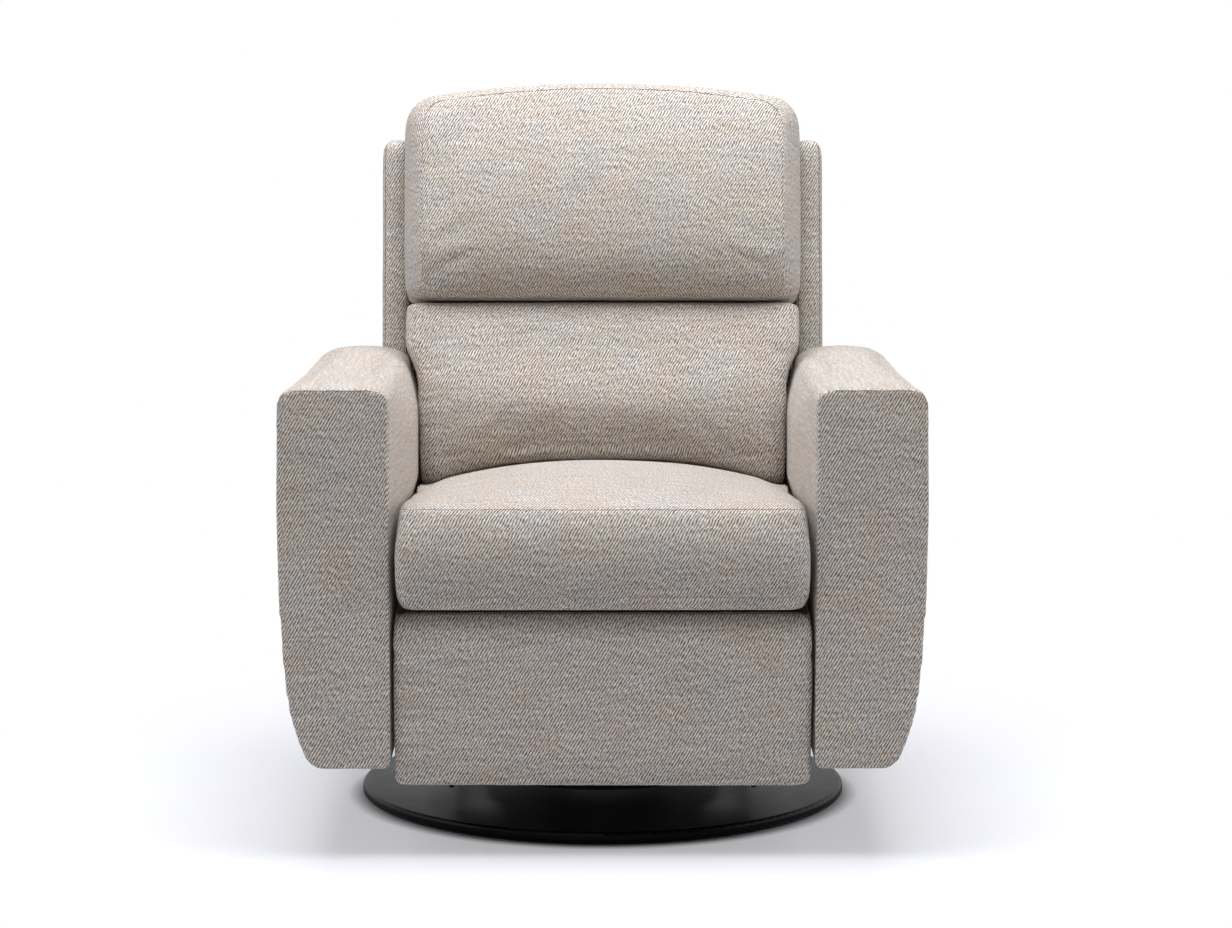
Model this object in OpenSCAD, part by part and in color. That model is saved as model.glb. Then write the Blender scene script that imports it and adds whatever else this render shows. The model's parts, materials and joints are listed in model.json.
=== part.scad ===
// Swivel glider recliner: a fabric armchair on a round floor plate. The seat hangs on
// four gliding links, the footrest swings out on parallelogram links and the back reclines.
// Millimetres. +Z is up, the chair faces -Y, the origin is on the floor on the swivel axis.

/* [Arms] */
// Width over the widest part of both arms
overall_w = 840; // [800:5:900]
// Clear width between the two arms
seat_w = 546; // [536:2:556]
// Distance of the arm fronts ahead of the swivel axis
arm_front = 430; // [415:5:445]
// Length of an arm from front to rear
arm_l = 635; // [615:5:640]
// Height of the arm tops above the floor
arm_top = 617; // [590:5:640]
// Height of the arm undersides above the floor
arm_bottom = 122; // [110:2:134]
// Depth of the padded panel on the front of an arm
arm_front_t = 12; // [10:1:20]
// Padding between the fabric and the frame of an arm
arm_pad = 20; // [16:1:24]
// Thickness of the boards in an arm frame
arm_board_t = 18; // [12:1:20]

/* [Seat] */
// Height of the underside of the seat cushion above the floor
seat_bottom = 332; // [330:1:340]
// Height of the front edge of the seat cushion
seat_edge_h = 131; // [110:1:150]
// Rise of the middle of the seat cushion over its front edge
seat_crown = 20; // [8:1:30]
// Distance of the seat cushion's front ahead of the swivel axis
seat_front = 442; // [435:1:450]
// Distance of the seat cushion's rear behind the swivel axis
seat_rear = 148; // [130:1:160]
// Thickness of the pad between the springs and the seat cushion
deck_t = 15; // [10:1:18]
// Number of zigzag springs under the seat
seat_spring_n = 5; // [3:1:6]
// Thickness of the spring wire
wire_t = 4; // [3:0.5:5]

/* [Back] */
// Lean of the back at rest, in degrees
back_rake = 11; // [8:1:13]
// Height of the back hinge above the floor
hinge_z = 330; // [322:1:338]
// Distance of the back hinge behind the swivel axis
hinge_y = 200; // [196:1:208]
// Length of the back from the hinge to the top of the upper pillow
back_l = 657; // [620:1:690]
// Seam between the two pillows, as a share of the back's length from the hinge
valley_share = 0.508; // [0.49:0.002:0.53]
// Reach of the upper pillow over each arm's inner face
pillow_over = 11; // [6:1:12]
// Thickness of the upper pillow
pillow_t = 192; // [160:1:210]
// Thickness of the lumbar cushion
lumbar_t = 182; // [150:1:190]
// Top of the outer wings, as a share of the back's length from the hinge
wing_share = 0.898; // [0.85:0.002:0.93]
// Thickness of an outer wing
wing_t = 36; // [30:1:40]
// Depth of an outer wing from front to rear, above the arms
wing_depth = 129; // [112:1:132]

/* [Footrest] */
// Clearance between the footrest panel and each arm
foot_side_gap = 2; // [1:0.5:8]
// Height of the lower edge of the footrest panel above the floor
foot_bottom = 101; // [90:1:115]
// Height of the upper edge of the footrest panel above the floor
foot_top = 326; // [318:1:328]
// Distance of the footrest panel's face ahead of the swivel axis
foot_front = 427; // [422:1:436]
// Thickness of the footrest cushion
foot_pad_t = 30; // [24:1:36]
// Thickness of the footrest board
foot_board_t = 12; // [9:1:15]

/* [Floor base] */
// Radius of the floor disc
disc_r = 340; // [320:5:360]
// Thickness of the floor disc
disc_t = 15; // [12:1:18]
// Radius of the rubber pad under the floor disc
pad_r = 322; // [300:2:330]
// Thickness of the rubber pad
pad_t = 3; // [2:0.5:4]
// Radius of the ball circle of the swivel bearing
bearing_r = 66; // [64:1:66]
// Radius of a bearing ball
ball_r = 4; // [3:0.5:4.5]
// Number of bearing balls
ball_n = 18; // [12:1:20]
// Thickness of a bearing race
race_t = 8; // [7:1:10]

/* [Glider] */
// Distance between the two pivots of a glide link
glide_link_l = 140; // [130:1:150]
// Height of the upper pivots of the glide links above the floor
glide_top_z = 235; // [225:1:240]
// Distance of the glide pivots ahead of and behind the swivel axis
glide_y = 150; // [130:1:158]
// Radius of a glide pin
glide_pin_r = 6; // [5:0.5:7]

/* [Hidden] */

// Overrun of every cut past the faces it goes through
over = 1;
// Clearance between a soft piece and what it rests on
seat_gap = 0.3;
// Running clearance of a pin in its bush or hole
run_gap = 0.05;
// Clearance of a bolt in its hole
bolt_gap = 0.2;
// Roundness of cylinders and arcs
round_fn = 48;
// Half a turn, in degrees
half_turn = 180;

// Heights of the floor base, from the floor up
disc_top = pad_t + disc_t;
race_gap = 2;
lower_race_top = disc_top + race_t;
ball_z = lower_race_top + race_gap / 2;
upper_race_bottom = lower_race_top + race_gap;
upper_race_top = upper_race_bottom + race_t;
race_half_w = 17;
cage_t = 1.4;
cage_half_w = 9;
disc_edge_r = 5;
swivel_plate_t = 6;
swivel_plate_r = 165;
swivel_plate_hole_r = 40;
plate_top = upper_race_top + swivel_plate_t;
race_bolt_r = 3;
race_bolt_head_r = 4.5;
race_bolt_head_t = 2.5;
race_bolt_n = 6;
race_bolt_inset = 11;

// Widths of the mechanism, from the arms inward
board_gap = 3;
seat_rail_t = 20;
side_rail_t = 5;
lane_gap = 1;
link_t = 4;
arm_in = seat_w / 2;
seat_rail_out = arm_in - board_gap;
side_rail_out = seat_rail_out - seat_rail_t;
side_rail_in = side_rail_out - side_rail_t;
lane_step = link_t + lane_gap;
drive_lane = side_rail_in - lane_step;
carrier_lane = drive_lane - lane_step;
bracket_lane = carrier_lane - lane_step;
glide_link_t = 8;
glide_link_gap = 8;
glide_link_in = bracket_lane - glide_link_gap - glide_link_t;
pin_head_t = 2.5;
glide_frame_t = 6;
glide_frame_gap = pin_head_t + 2 * seat_gap + lane_gap;
glide_frame_out = glide_link_in - glide_frame_gap;
glide_frame_in = glide_frame_out - glide_frame_t;

// Glider frame and crossbars
glide_low_z = glide_top_z - glide_link_l;
frame_foot_h = 24;
frame_foot_over = 25;
frame_foot_l = 2 * (glide_y + frame_foot_over);
upright_w = 36;
crossbar_y = 110;
crossbar_h = 20;
crossbar_w = 30;
crossbar_wall = 2;
frame_bolt_r = 4;
frame_bolt_x = 90;
frame_bolt_head_r = 7;
frame_bolt_head_t = 4;
glide_link_w = 26;
bush_wall = 3;
glide_pin_shoulder_r = 9;
glide_head_r = 10;

// Seat carriage
spring_top = seat_bottom - seat_gap - deck_t - seat_gap;
seat_rail_h = 54;
seat_rail_bottom = spring_top - seat_rail_h;
front_rail_h = 25;
front_rail_w = 26;
foot_clear = 10;
front_rail_y = -(foot_front - foot_pad_t - foot_board_t - foot_clear);
front_rail_back_y = front_rail_y + front_rail_w;
rear_rail_w = 25;
rear_rail_inset = 50;
rear_rail_y = hinge_y - rear_rail_inset;
side_rail_h = 36;
side_rail_drop = 11;
side_rail_bottom = seat_rail_bottom - side_rail_drop;
side_rail_top = side_rail_bottom + side_rail_h;
side_rail_over = 25;
side_rail_rear_y = hinge_y + side_rail_over;
lug_r = 20;
hanger_w = 40;
spring_waves = 14;
spring_swing = 22;
spring_span_share = 0.74;
clip_w = 14;
clip_l = 12;
clip_h = 10;
deck_half_w = seat_rail_out - board_gap;
arm_bolt_r = 4;
arm_bolt_head_r = 7;
arm_bolt_head_t = 4;
arm_bolt_lead = 100;
arm_bolt_front_y = -arm_bolt_lead;
arm_bolt_rear_y = 110;
arm_bolt_z = side_rail_bottom + side_rail_h / 2;
skirt_t = 16;
skirt_half_w = arm_in - board_gap;
skirt_rise = 8;
skirt_bottom = arm_bottom + skirt_rise;
skirt_gap = 5;
skirt_top = hinge_z - lug_r - skirt_gap;

// Arm outline, seen from the front, measured from the inner face
arm_w = overall_w / 2 - arm_in;
arm_foot_w_share = 0.67;
arm_foot_r = 26;
arm_heel_w_share = 0.81;
arm_heel_h_share = 0.07;
arm_heel_r = 60;
arm_flank_w_share = 0.895;
arm_flank_h_share = 0.19;
arm_flank_r = 160;
arm_side_w_share = 0.98;
arm_side_h_share = 0.46;
arm_side_r = 500;
arm_belly_h_share = 0.7;
arm_belly_r = 900;
arm_shoulder_w_share = 0.985;
arm_top_r = 18;
arm_inner_r = 14;
arm_corner_n = 3;
arm_front_y = -arm_front;
arm_rear_y = arm_l - arm_front;
arm_end_r = 30;
arm_puff = 5;
arm_frame_in = arm_in + arm_pad;
arm_cap_w_share = 0.82;
arm_frame_foot_h = 34;

// Back, in its own frame: w runs to the rear and v along the back, from the hinge
valley_v = valley_share * back_l;
pillow_half_w = arm_in + pillow_over;
wing_l = wing_share * back_l;
post_t = 20;
post_w = 92;
post_lead = 15;
post_front_w = -post_lead;
post_rear_w = post_front_w + post_w;
post_foot_v = lug_r + link_t;
post_over = 2;
post_top_v = wing_l + post_over;
pillow_rest_gap = 1.5;
pillow_lap_over = 10;
pillow_lap_v = post_top_v + pillow_lap_over;
top_rail_h = 34;
top_rail_w = 24;
bottom_rail_v = 100;
bottom_rail_h = 44;
back_spring_n = 4;
back_spring_waves = 16;
back_panel_t = 18;
wing_rear_w = post_rear_w + back_panel_t;
wing_foot_w = 8;
wing_step_v = 220;
wing_foot_v = 6;
back_panel_drop = 24;
back_panel_v = back_l - back_panel_drop;
bracket_r = 18;
bracket_h = 95;
hinge_pin_r = 8;
hinge_head_r = 12;

// Footrest linkage: the panel turns about a virtual centre ahead of the seat
foot_centre_f = 470;
foot_centre_z = 440;
drive_pivot_f = 312;
drive_pivot_z = 268;
carrier_pin_f = 358;
carrier_pin_z = 250;
guide_reach = 40;
guide_angle = 15;
stay_reach = 32;
stay_angle = 97;
drive_pivot = [drive_pivot_f, drive_pivot_z];
carrier_pin = [carrier_pin_f, carrier_pin_z];
carrier_run = [foot_centre_f, foot_centre_z] - drive_pivot;
drive_end = carrier_pin - carrier_run;
guide_offset = guide_reach * [cos(guide_angle), sin(guide_angle)];
stay_offset = stay_reach * [cos(stay_angle), sin(stay_angle)];
guide_pivot = drive_pivot + guide_offset;
guide_end = drive_end + guide_offset;
stay_start = drive_end + stay_offset;
stay_end = carrier_pin + stay_offset;
link_half_w = 9;
rivet_r = 4;
rivet_head_r = 7;
rivet_head_t = 1.6;
open_pivot_gap = 0.4;
torque_tube_r = 11;
torque_tube_wall = 2.2;
torque_pin_r = 8;
tube_boss_r = 13;
foot_w = seat_w - 2 * foot_side_gap;
foot_board_inset = 8;
foot_board_f = foot_front - foot_pad_t;
bracket_flange_w = 22;
bracket_flange_h = 150;
bracket_flange_t = 3;

fabric = [0.78, 0.74, 0.69];
steel = [0.32, 0.33, 0.34];
bright_steel = [0.7, 0.7, 0.72];
black_paint = [0.07, 0.07, 0.08];
pine = [0.82, 0.68, 0.46];

// One rounded corner: points on the arc of radius r that touches both sides at b
function corner_arc(a, b, c, r, n) =
    let (u = (a - b) / norm(a - b), w = (c - b) / norm(c - b))
    let (half = acos(max(-1, min(1, u * w))) / 2)
    let (reach = min(r / tan(half), 0.49 * min(norm(a - b), norm(c - b))))
    let (radius = reach * tan(half), mid = b + (u + w) / norm(u + w) * radius / sin(half))
    let (p = b + u * reach - mid, q = b + w * reach - mid)
    let (from = atan2(p[1], p[0]))
    let (turn = (atan2(q[1], q[0]) - from + 3 * half_turn) % (2 * half_turn) - half_turn)
    [for (i = [0:n]) mid + radius * [cos(from + turn * i / n), sin(from + turn * i / n)]];

// A closed outline with rounded corners; each corner is [x, y, radius]
function rounded(corners, n = 4) =
    let (k = len(corners))
    [for (i = [0:k - 1])
        let (a = corners[(i + k - 1) % k], b = corners[i], c = corners[(i + 1) % k])
        each corner_arc([a[0], a[1]], [b[0], b[1]], [c[0], c[1]], b[2], n)];

// A closed skin over rings of points that have the same count, with flat ends
module skin(rings) {
    n = len(rings[0]);
    points = [for (ring = rings) each ring];
    sides = [for (k = [0:len(rings) - 2]) for (i = [0:n - 1])
        let (a = k * n + i, b = k * n + (i + 1) % n)
        each [[a, b + n, b], [a, a + n, b + n]]];
    caps = [[for (i = [0:n - 1]) i], [for (i = [n - 1:-1:0]) (len(rings) - 1) * n + i]];
    polyhedron(points, concat(sides, caps), convexity = 6);
}

// Stations across a soft piece: its middle, then closer together round each edge
function stations(half_w, edge_r, mid_n = 3, edge_n = 5) =
    let (flat = half_w - edge_r)
    let (side = concat([for (i = [0:mid_n - 1]) flat * i / mid_n],
        [for (i = [0:edge_n]) flat + edge_r * sin(90 * i / edge_n)]))
    concat([for (i = [len(side) - 1:-1:1]) -side[i]], side);

// Share of full size that a soft piece keeps at x, down to end_share at its edge
function edge_share(x, half_w, edge_r, end_share) =
    let (t = max(0, (abs(x) - half_w + edge_r) / edge_r))
    1 - (1 - end_share) * (1 - sqrt(max(0, 1 - t * t)));

// A cushion lofted across the chair from a side outline of [y, z] points.
// Its edges draw in round centre and its upper part crowns by lift in the middle.
module cushion(outline, centre, half_w, edge_r, end_share, lift = 0) {
    low = min([for (p = outline) p[1]]);
    high = max([for (p = outline) p[1]]);
    skin([for (x = stations(half_w, edge_r))
        let (s = edge_share(x, half_w, edge_r, end_share), rise = lift * (1 - pow(x / half_w, 2)))
        [for (p = outline)
            let (h = (p[1] - low) / (high - low))
            [x, centre[0] + (p[0] - centre[0]) * s,
                centre[1] + (p[1] - centre[1]) * s + rise * pow(h, 3)]]]);
}

// A padded panel lofted from front to rear from a front outline of [x, z] points
module padded_panel(outline, centre, y0, y1, edge_r, end_share, steps = 4) {
    rear = [for (i = [0:steps]) [y1, -1, i / steps]];
    front = [for (i = [steps:-1:0]) [y0, 1, i / steps]];
    skin([for (f = concat(rear, front))
        let (y = f[0] + f[1] * edge_r * (1 - cos(90 * f[2])))
        let (s = end_share + (1 - end_share) * sin(90 * f[2]))
        [for (p = outline) [centre[0] + (p[0] - centre[0]) * s, y, centre[1] + (p[1] - centre[1]) * s]]]);
}

module sided(side) mirror([side < 0 ? 1 : 0, 0, 0]) children();

// Puts children, drawn in [w, v] as the XY plane and thick along Z, upright across the chair
module upright_at(x) translate([x, 0, 0]) rotate([90, 0, 90]) children();

// A plate cut in the side view: its outline lies in [y, z], from x inward by t
module side_plate(x, t) upright_at(x) linear_extrude(t) children();

// A pin along X between two distances from the middle, at [y, z]
module x_pin(at, r, x0, x1) translate([x0, at[0], at[1]]) rotate([0, 90, 0])
    cylinder(r = r, h = x1 - x0, $fn = round_fn);

// Places the back's own frame: its foot at the hinge, leaning to the rear
module in_back() translate([0, hinge_y, hinge_z]) rotate([-back_rake, 0, 0]) children();

function front_yz(p) = [-p[0], p[1]];

module capsule(a, b, r) {
    d = b - a;
    translate(a) rotate(atan2(d[1], d[0])) {
        translate([0, -r]) square([norm(d), 2 * r]);
        circle(r, $fn = round_fn);
        translate([norm(d), 0]) circle(r, $fn = round_fn);
    }
}

module ring(r0, r1, h) difference() {
    cylinder(r = r1, h = h, $fn = 2 * round_fn);
    translate([0, 0, -over]) cylinder(r = r0, h = h + 2 * over, $fn = 2 * round_fn);
}

module around(n, r) for (i = [0:n - 1]) rotate(360 * i / n) translate([r, 0, 0]) children();

// Floor base

module floor_pad() color("black") cylinder(r = pad_r, h = pad_t, $fn = 2 * round_fn);

module floor_disc() color(black_paint) translate([0, 0, pad_t]) difference() {
    rotate_extrude($fn = 2 * round_fn) {
        square([disc_r - disc_edge_r, disc_t]);
        translate([disc_r - disc_edge_r, disc_edge_r]) square([disc_edge_r, disc_t - 2 * disc_edge_r]);
        for (z = [disc_edge_r, disc_t - disc_edge_r])
            translate([disc_r - disc_edge_r, z]) circle(disc_edge_r, $fn = round_fn);
    }
    around(race_bolt_n, bearing_r + race_bolt_inset)
        translate([0, 0, disc_t / 2]) cylinder(r = race_bolt_r + bolt_gap, h = disc_t, $fn = round_fn);
}

module race(z) difference() {
    translate([0, 0, z]) ring(bearing_r - race_half_w, bearing_r + race_half_w, race_t);
    rotate_extrude($fn = 2 * round_fn)
        translate([bearing_r, ball_z]) circle(ball_r + run_gap, $fn = round_fn);
}

module lower_bearing_race() color(bright_steel) difference() {
    race(disc_top);
    around(race_bolt_n, bearing_r + race_bolt_inset) {
        translate([0, 0, disc_top - over])
            cylinder(r = race_bolt_r + bolt_gap, h = race_t + 2 * over, $fn = round_fn);
        translate([0, 0, lower_race_top - race_bolt_head_t])
            cylinder(r = race_bolt_head_r + bolt_gap, h = race_bolt_head_t + over, $fn = round_fn);
    }
}

module upper_bearing_race() color(bright_steel) race(upper_race_bottom);

module ball_cage() color("tan") difference() {
    translate([0, 0, ball_z - cage_t / 2]) ring(bearing_r - cage_half_w, bearing_r + cage_half_w, cage_t);
    around(ball_n, bearing_r) translate([0, 0, ball_z - cage_t])
        cylinder(r = ball_r + run_gap, h = 2 * cage_t, $fn = round_fn);
}

module bearing_balls() color(bright_steel)
    around(ball_n, bearing_r) translate([0, 0, ball_z]) sphere(ball_r, $fn = round_fn);

module race_bolts() color(bright_steel) around(race_bolt_n, bearing_r + race_bolt_inset) {
    translate([0, 0, pad_t + disc_t / 2])
        cylinder(r = race_bolt_r, h = disc_t / 2 + race_t - race_bolt_head_t, $fn = round_fn);
    translate([0, 0, lower_race_top - race_bolt_head_t])
        cylinder(r = race_bolt_head_r, h = race_bolt_head_t, $fn = round_fn);
}

// Turning base

module swivel_plate() color(black_paint) translate([0, 0, upper_race_top]) difference() {
    ring(swivel_plate_hole_r, swivel_plate_r, swivel_plate_t);
    for (x = [-frame_bolt_x, frame_bolt_x], y = [-crossbar_y, crossbar_y])
        translate([x, y, -over])
            cylinder(r = frame_bolt_r + bolt_gap, h = swivel_plate_t + 2 * over, $fn = round_fn);
}

module crossbar(y) color(black_paint) difference() {
    translate([-glide_frame_in, y - crossbar_w / 2, plate_top])
        cube([2 * glide_frame_in, crossbar_w, crossbar_h]);
    translate([-glide_frame_in - over, y - crossbar_w / 2 + crossbar_wall, plate_top + crossbar_wall])
        cube([2 * (glide_frame_in + over), crossbar_w - 2 * crossbar_wall, crossbar_h - 2 * crossbar_wall]);
    for (x = [-frame_bolt_x, frame_bolt_x]) translate([x, y, plate_top - over])
        cylinder(r = frame_bolt_r + bolt_gap, h = crossbar_h + 2 * over, $fn = round_fn);
}

module front_crossbar() crossbar(-crossbar_y);

module rear_crossbar() crossbar(crossbar_y);

module glider_frame(side) color(black_paint) sided(side) difference() {
    side_plate(glide_frame_in, glide_frame_t) {
        translate([-frame_foot_l / 2, plate_top]) square([frame_foot_l, frame_foot_h]);
        for (y = [-glide_y, glide_y]) {
            translate([y - upright_w / 2, plate_top]) square([upright_w, glide_top_z - plate_top]);
            translate([y, glide_top_z]) circle(upright_w / 2, $fn = round_fn);
        }
    }
    for (y = [-glide_y, glide_y])
        x_pin([y, glide_top_z], glide_pin_r + bolt_gap, glide_frame_in - over, glide_frame_out + over);
}

module left_glider_frame() glider_frame(-1);

module right_glider_frame() glider_frame(1);

module upper_glide_pins() color(bright_steel) for (side = [-1, 1], y = [-glide_y, glide_y]) sided(side) {
    at = [y, glide_top_z];
    head = glide_link_in + glide_link_t + seat_gap;
    x_pin(at, glide_pin_r, glide_frame_in - pin_head_t, head + pin_head_t);
    x_pin(at, glide_head_r, glide_frame_in - pin_head_t, glide_frame_in);
    x_pin(at, glide_head_r, head, head + pin_head_t);
    x_pin(at, glide_pin_shoulder_r, glide_frame_out, glide_link_in - seat_gap);
}

module frame_bolts() color(bright_steel)
    for (x = [-frame_bolt_x, frame_bolt_x], y = [-crossbar_y, crossbar_y]) translate([x, y, upper_race_top]) {
        cylinder(r = frame_bolt_r, h = swivel_plate_t + crossbar_h + frame_bolt_head_t, $fn = round_fn);
        translate([0, 0, swivel_plate_t + crossbar_h])
            cylinder(r = frame_bolt_head_r, h = frame_bolt_head_t, $fn = round_fn);
    }

// Glide links

module glide_link(side, y) color(steel) sided(side) difference() {
    side_plate(glide_link_in, glide_link_t)
        capsule([y, glide_low_z], [y, glide_top_z], glide_link_w / 2);
    for (z = [glide_low_z, glide_top_z])
        x_pin([y, z], glide_pin_r + bush_wall, glide_link_in - over, glide_link_in + glide_link_t + over);
}

module front_left_glide_link() glide_link(-1, -glide_y);

module front_right_glide_link() glide_link(1, -glide_y);

module rear_left_glide_link() glide_link(-1, glide_y);

module rear_right_glide_link() glide_link(1, glide_y);

module link_bushes(y) color("white") for (side = [-1, 1], z = [glide_low_z, glide_top_z]) sided(side)
    difference() {
        x_pin([y, z], glide_pin_r + bush_wall, glide_link_in, glide_link_in + glide_link_t);
        x_pin([y, z], glide_pin_r + run_gap, glide_link_in - over, glide_link_in + glide_link_t + over);
    }

module front_link_bushes() link_bushes(-glide_y);

module rear_link_bushes() link_bushes(glide_y);

// Seat carriage

module side_rail(side) color(steel) sided(side) {
    difference() {
        side_plate(side_rail_in, side_rail_t) {
            translate([front_rail_y, side_rail_bottom])
                square([side_rail_rear_y - front_rail_y, side_rail_h]);
            for (y = [-glide_y, glide_y]) {
                translate([y - hanger_w / 2, glide_low_z]) square([hanger_w, side_rail_top - glide_low_z]);
                translate([y, glide_low_z]) circle(hanger_w / 2, $fn = round_fn);
            }
            translate([hinge_y - lug_r, side_rail_bottom]) square([2 * lug_r, hinge_z - side_rail_bottom]);
            translate([hinge_y, hinge_z]) circle(lug_r, $fn = round_fn);
        }
        for (y = [-glide_y, glide_y])
            x_pin([y, glide_low_z], glide_pin_r + bolt_gap, side_rail_in - over, side_rail_out + over);
        x_pin([hinge_y, hinge_z], hinge_pin_r + bolt_gap, side_rail_in - over, side_rail_out + over);
        for (y = [arm_bolt_front_y, arm_bolt_rear_y])
            x_pin([y, arm_bolt_z], arm_bolt_r + bolt_gap, side_rail_in - over, side_rail_out + over);
    }
    x_pin(front_yz(drive_pivot), torque_pin_r, drive_lane, side_rail_in);
    x_pin(front_yz(guide_pivot), rivet_r, drive_lane - rivet_head_t / 2, side_rail_in);
}

module left_side_rail() side_rail(-1);

module right_side_rail() side_rail(1);

module lower_glide_pins() color(bright_steel) for (side = [-1, 1], y = [-glide_y, glide_y]) sided(side) {
    at = [y, glide_low_z];
    inner = glide_link_in - seat_gap - pin_head_t;
    x_pin(at, glide_pin_r, inner, side_rail_out + pin_head_t);
    x_pin(at, glide_head_r, inner, inner + pin_head_t);
    x_pin(at, glide_pin_shoulder_r, glide_link_in + glide_link_t + seat_gap, side_rail_in);
    x_pin(at, glide_head_r, side_rail_out, side_rail_out + pin_head_t);
}

module seat_front_rail() color(pine) translate([-side_rail_out, front_rail_y, spring_top - front_rail_h])
    cube([2 * side_rail_out, front_rail_w, front_rail_h]);

module seat_rear_rail() color(pine) translate([-side_rail_in, rear_rail_y, seat_rail_bottom])
    cube([2 * side_rail_in, rear_rail_w, seat_rail_h]);

module seat_side_rail(side) color(pine) sided(side) difference() {
    translate([side_rail_out, front_rail_y, seat_rail_bottom])
        cube([seat_rail_t, rear_rail_y + rear_rail_w - front_rail_y, seat_rail_h]);
    for (y = [arm_bolt_front_y, arm_bolt_rear_y])
        x_pin([y, arm_bolt_z], arm_bolt_r + bolt_gap, side_rail_out - over, seat_rail_out + over);
}

module seat_left_rail() seat_side_rail(-1);

module seat_right_rail() seat_side_rail(1);

// A zigzag wire in a plane, from [0, 0] along +Y for length, swinging to both sides
module zigzag(length, swing, waves) {
    step = length / (2 * waves);
    linear_extrude(wire_t) {
        for (i = [0:2 * waves])
            let (end = i == 0 || i == 2 * waves, y = min(max(i * step - wire_t / 2, 0), length - wire_t))
            translate([i == 0 ? -wire_t / 2 : -swing, y])
                square([end ? swing + wire_t / 2 : 2 * swing, wire_t]);
        for (i = [0:2 * waves - 1])
            let (x = i % 2 == 0 ? swing - wire_t : -swing, y = max(i * step - wire_t / 2, 0))
            translate([x, y]) square([wire_t, step + wire_t / 2]);
    }
}

function spring_x(i, n, half) = half * spring_span_share * (n < 2 ? 0 : 2 * i / (n - 1) - 1);

module seat_springs() color(bright_steel) for (i = [0:seat_spring_n - 1])
    translate([spring_x(i, seat_spring_n, side_rail_in), front_rail_back_y + clip_l, spring_top - wire_t])
        zigzag(rear_rail_y - front_rail_back_y - 2 * clip_l, spring_swing, spring_waves);

module spring_clips() color(steel)
    for (i = [0:seat_spring_n - 1], y = [front_rail_back_y, rear_rail_y - clip_l])
        translate([spring_x(i, seat_spring_n, side_rail_in) - clip_w / 2, y, spring_top - clip_h])
            cube([clip_w, clip_l, clip_h]);

module seat_deck_pad() color("gainsboro") translate([-deck_half_w, front_rail_y, spring_top + seat_gap])
    cube([2 * deck_half_w, rear_rail_y + rear_rail_w - front_rail_y, deck_t]);

// Side outline of the seat cushion in [y, z]: a front face drawn in at both seams and a crowned top
seat_roll_r = 18;
seat_face_bulge = 4;
seat_rear_h = 134;
seat_lift = 5;
seat_peak_share = 0.25;
seat_crown_r = 1300;
seat_face_r = 260;
seat_outline = rounded([
    [seat_rear, seat_bottom, seat_roll_r],
    [seat_rear, seat_bottom + seat_rear_h, seat_roll_r],
    [-seat_peak_share * seat_front, seat_bottom + seat_edge_h + seat_crown, seat_crown_r],
    [-seat_front + seat_face_bulge, seat_bottom + seat_edge_h, seat_roll_r],
    [-seat_front, seat_bottom + seat_edge_h / 2, seat_face_r],
    [-seat_front + seat_face_bulge, seat_bottom, seat_roll_r]]);

module seat_cushion() color(fabric)
    cushion(seat_outline, [(seat_rear - seat_front) / 2, seat_bottom + seat_edge_h / 2],
        arm_in - board_gap, seat_roll_r, edge_keep(seat_edge_h), seat_lift);

// Share that a drawn-in edge keeps on a piece this high
function edge_keep(h) = 1 - seat_roll_r / h;

// Arm outline in [x, z], drawn in from the fabric by inset
function arm_outline(inset) =
    let (x = arm_in - inset, h = arm_top - arm_bottom, inner_r = max(arm_inner_r - inset, seat_gap))
    rounded([
        [arm_in + inset, arm_bottom + inset, inner_r],
        [x + arm_foot_w_share * arm_w, arm_bottom + inset, arm_foot_r - inset],
        [x + arm_heel_w_share * arm_w, arm_bottom + arm_heel_h_share * h + inset / 2, arm_heel_r - inset],
        [x + arm_flank_w_share * arm_w, arm_bottom + arm_flank_h_share * h, arm_flank_r - inset],
        [x + arm_side_w_share * arm_w, arm_bottom + arm_side_h_share * h, arm_side_r - inset],
        [x + arm_w, arm_bottom + arm_belly_h_share * h, arm_belly_r - inset],
        [x + arm_shoulder_w_share * arm_w, arm_top - inset, max(arm_top_r - inset, seat_gap)],
        [arm_in + inset, arm_top - inset, inner_r]], arm_corner_n);

arm_centre = [arm_in + arm_w / 2, (arm_top + arm_bottom) / 2];
arm_body_y = arm_front_y + arm_front_t + seat_gap;

module arm_bolt_holes(x0, x1) for (y = [arm_bolt_front_y, arm_bolt_rear_y])
    x_pin([y, arm_bolt_z], arm_bolt_r + bolt_gap, x0, x1);

module arm_upholstery(side) color(fabric) sided(side) difference() {
    padded_panel(arm_outline(0), arm_centre, arm_body_y, arm_rear_y, arm_end_r, 1 - arm_end_r / 2 / arm_w);
    padded_panel(arm_outline(arm_pad), arm_centre, arm_body_y + arm_pad, arm_rear_y - arm_pad,
        arm_inner_r, 1, 1);
    arm_bolt_holes(arm_in - over, arm_frame_in + over);
}

module left_arm_upholstery() arm_upholstery(-1);

module right_arm_upholstery() arm_upholstery(1);

module arm_front_pad(side) color(fabric) sided(side) padded_panel(arm_outline(0), arm_centre,
    arm_front_y, arm_front_y + arm_front_t, arm_puff, 1 - arm_puff / arm_w);

module left_arm_front() arm_front_pad(-1);

module right_arm_front() arm_front_pad(1);

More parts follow.
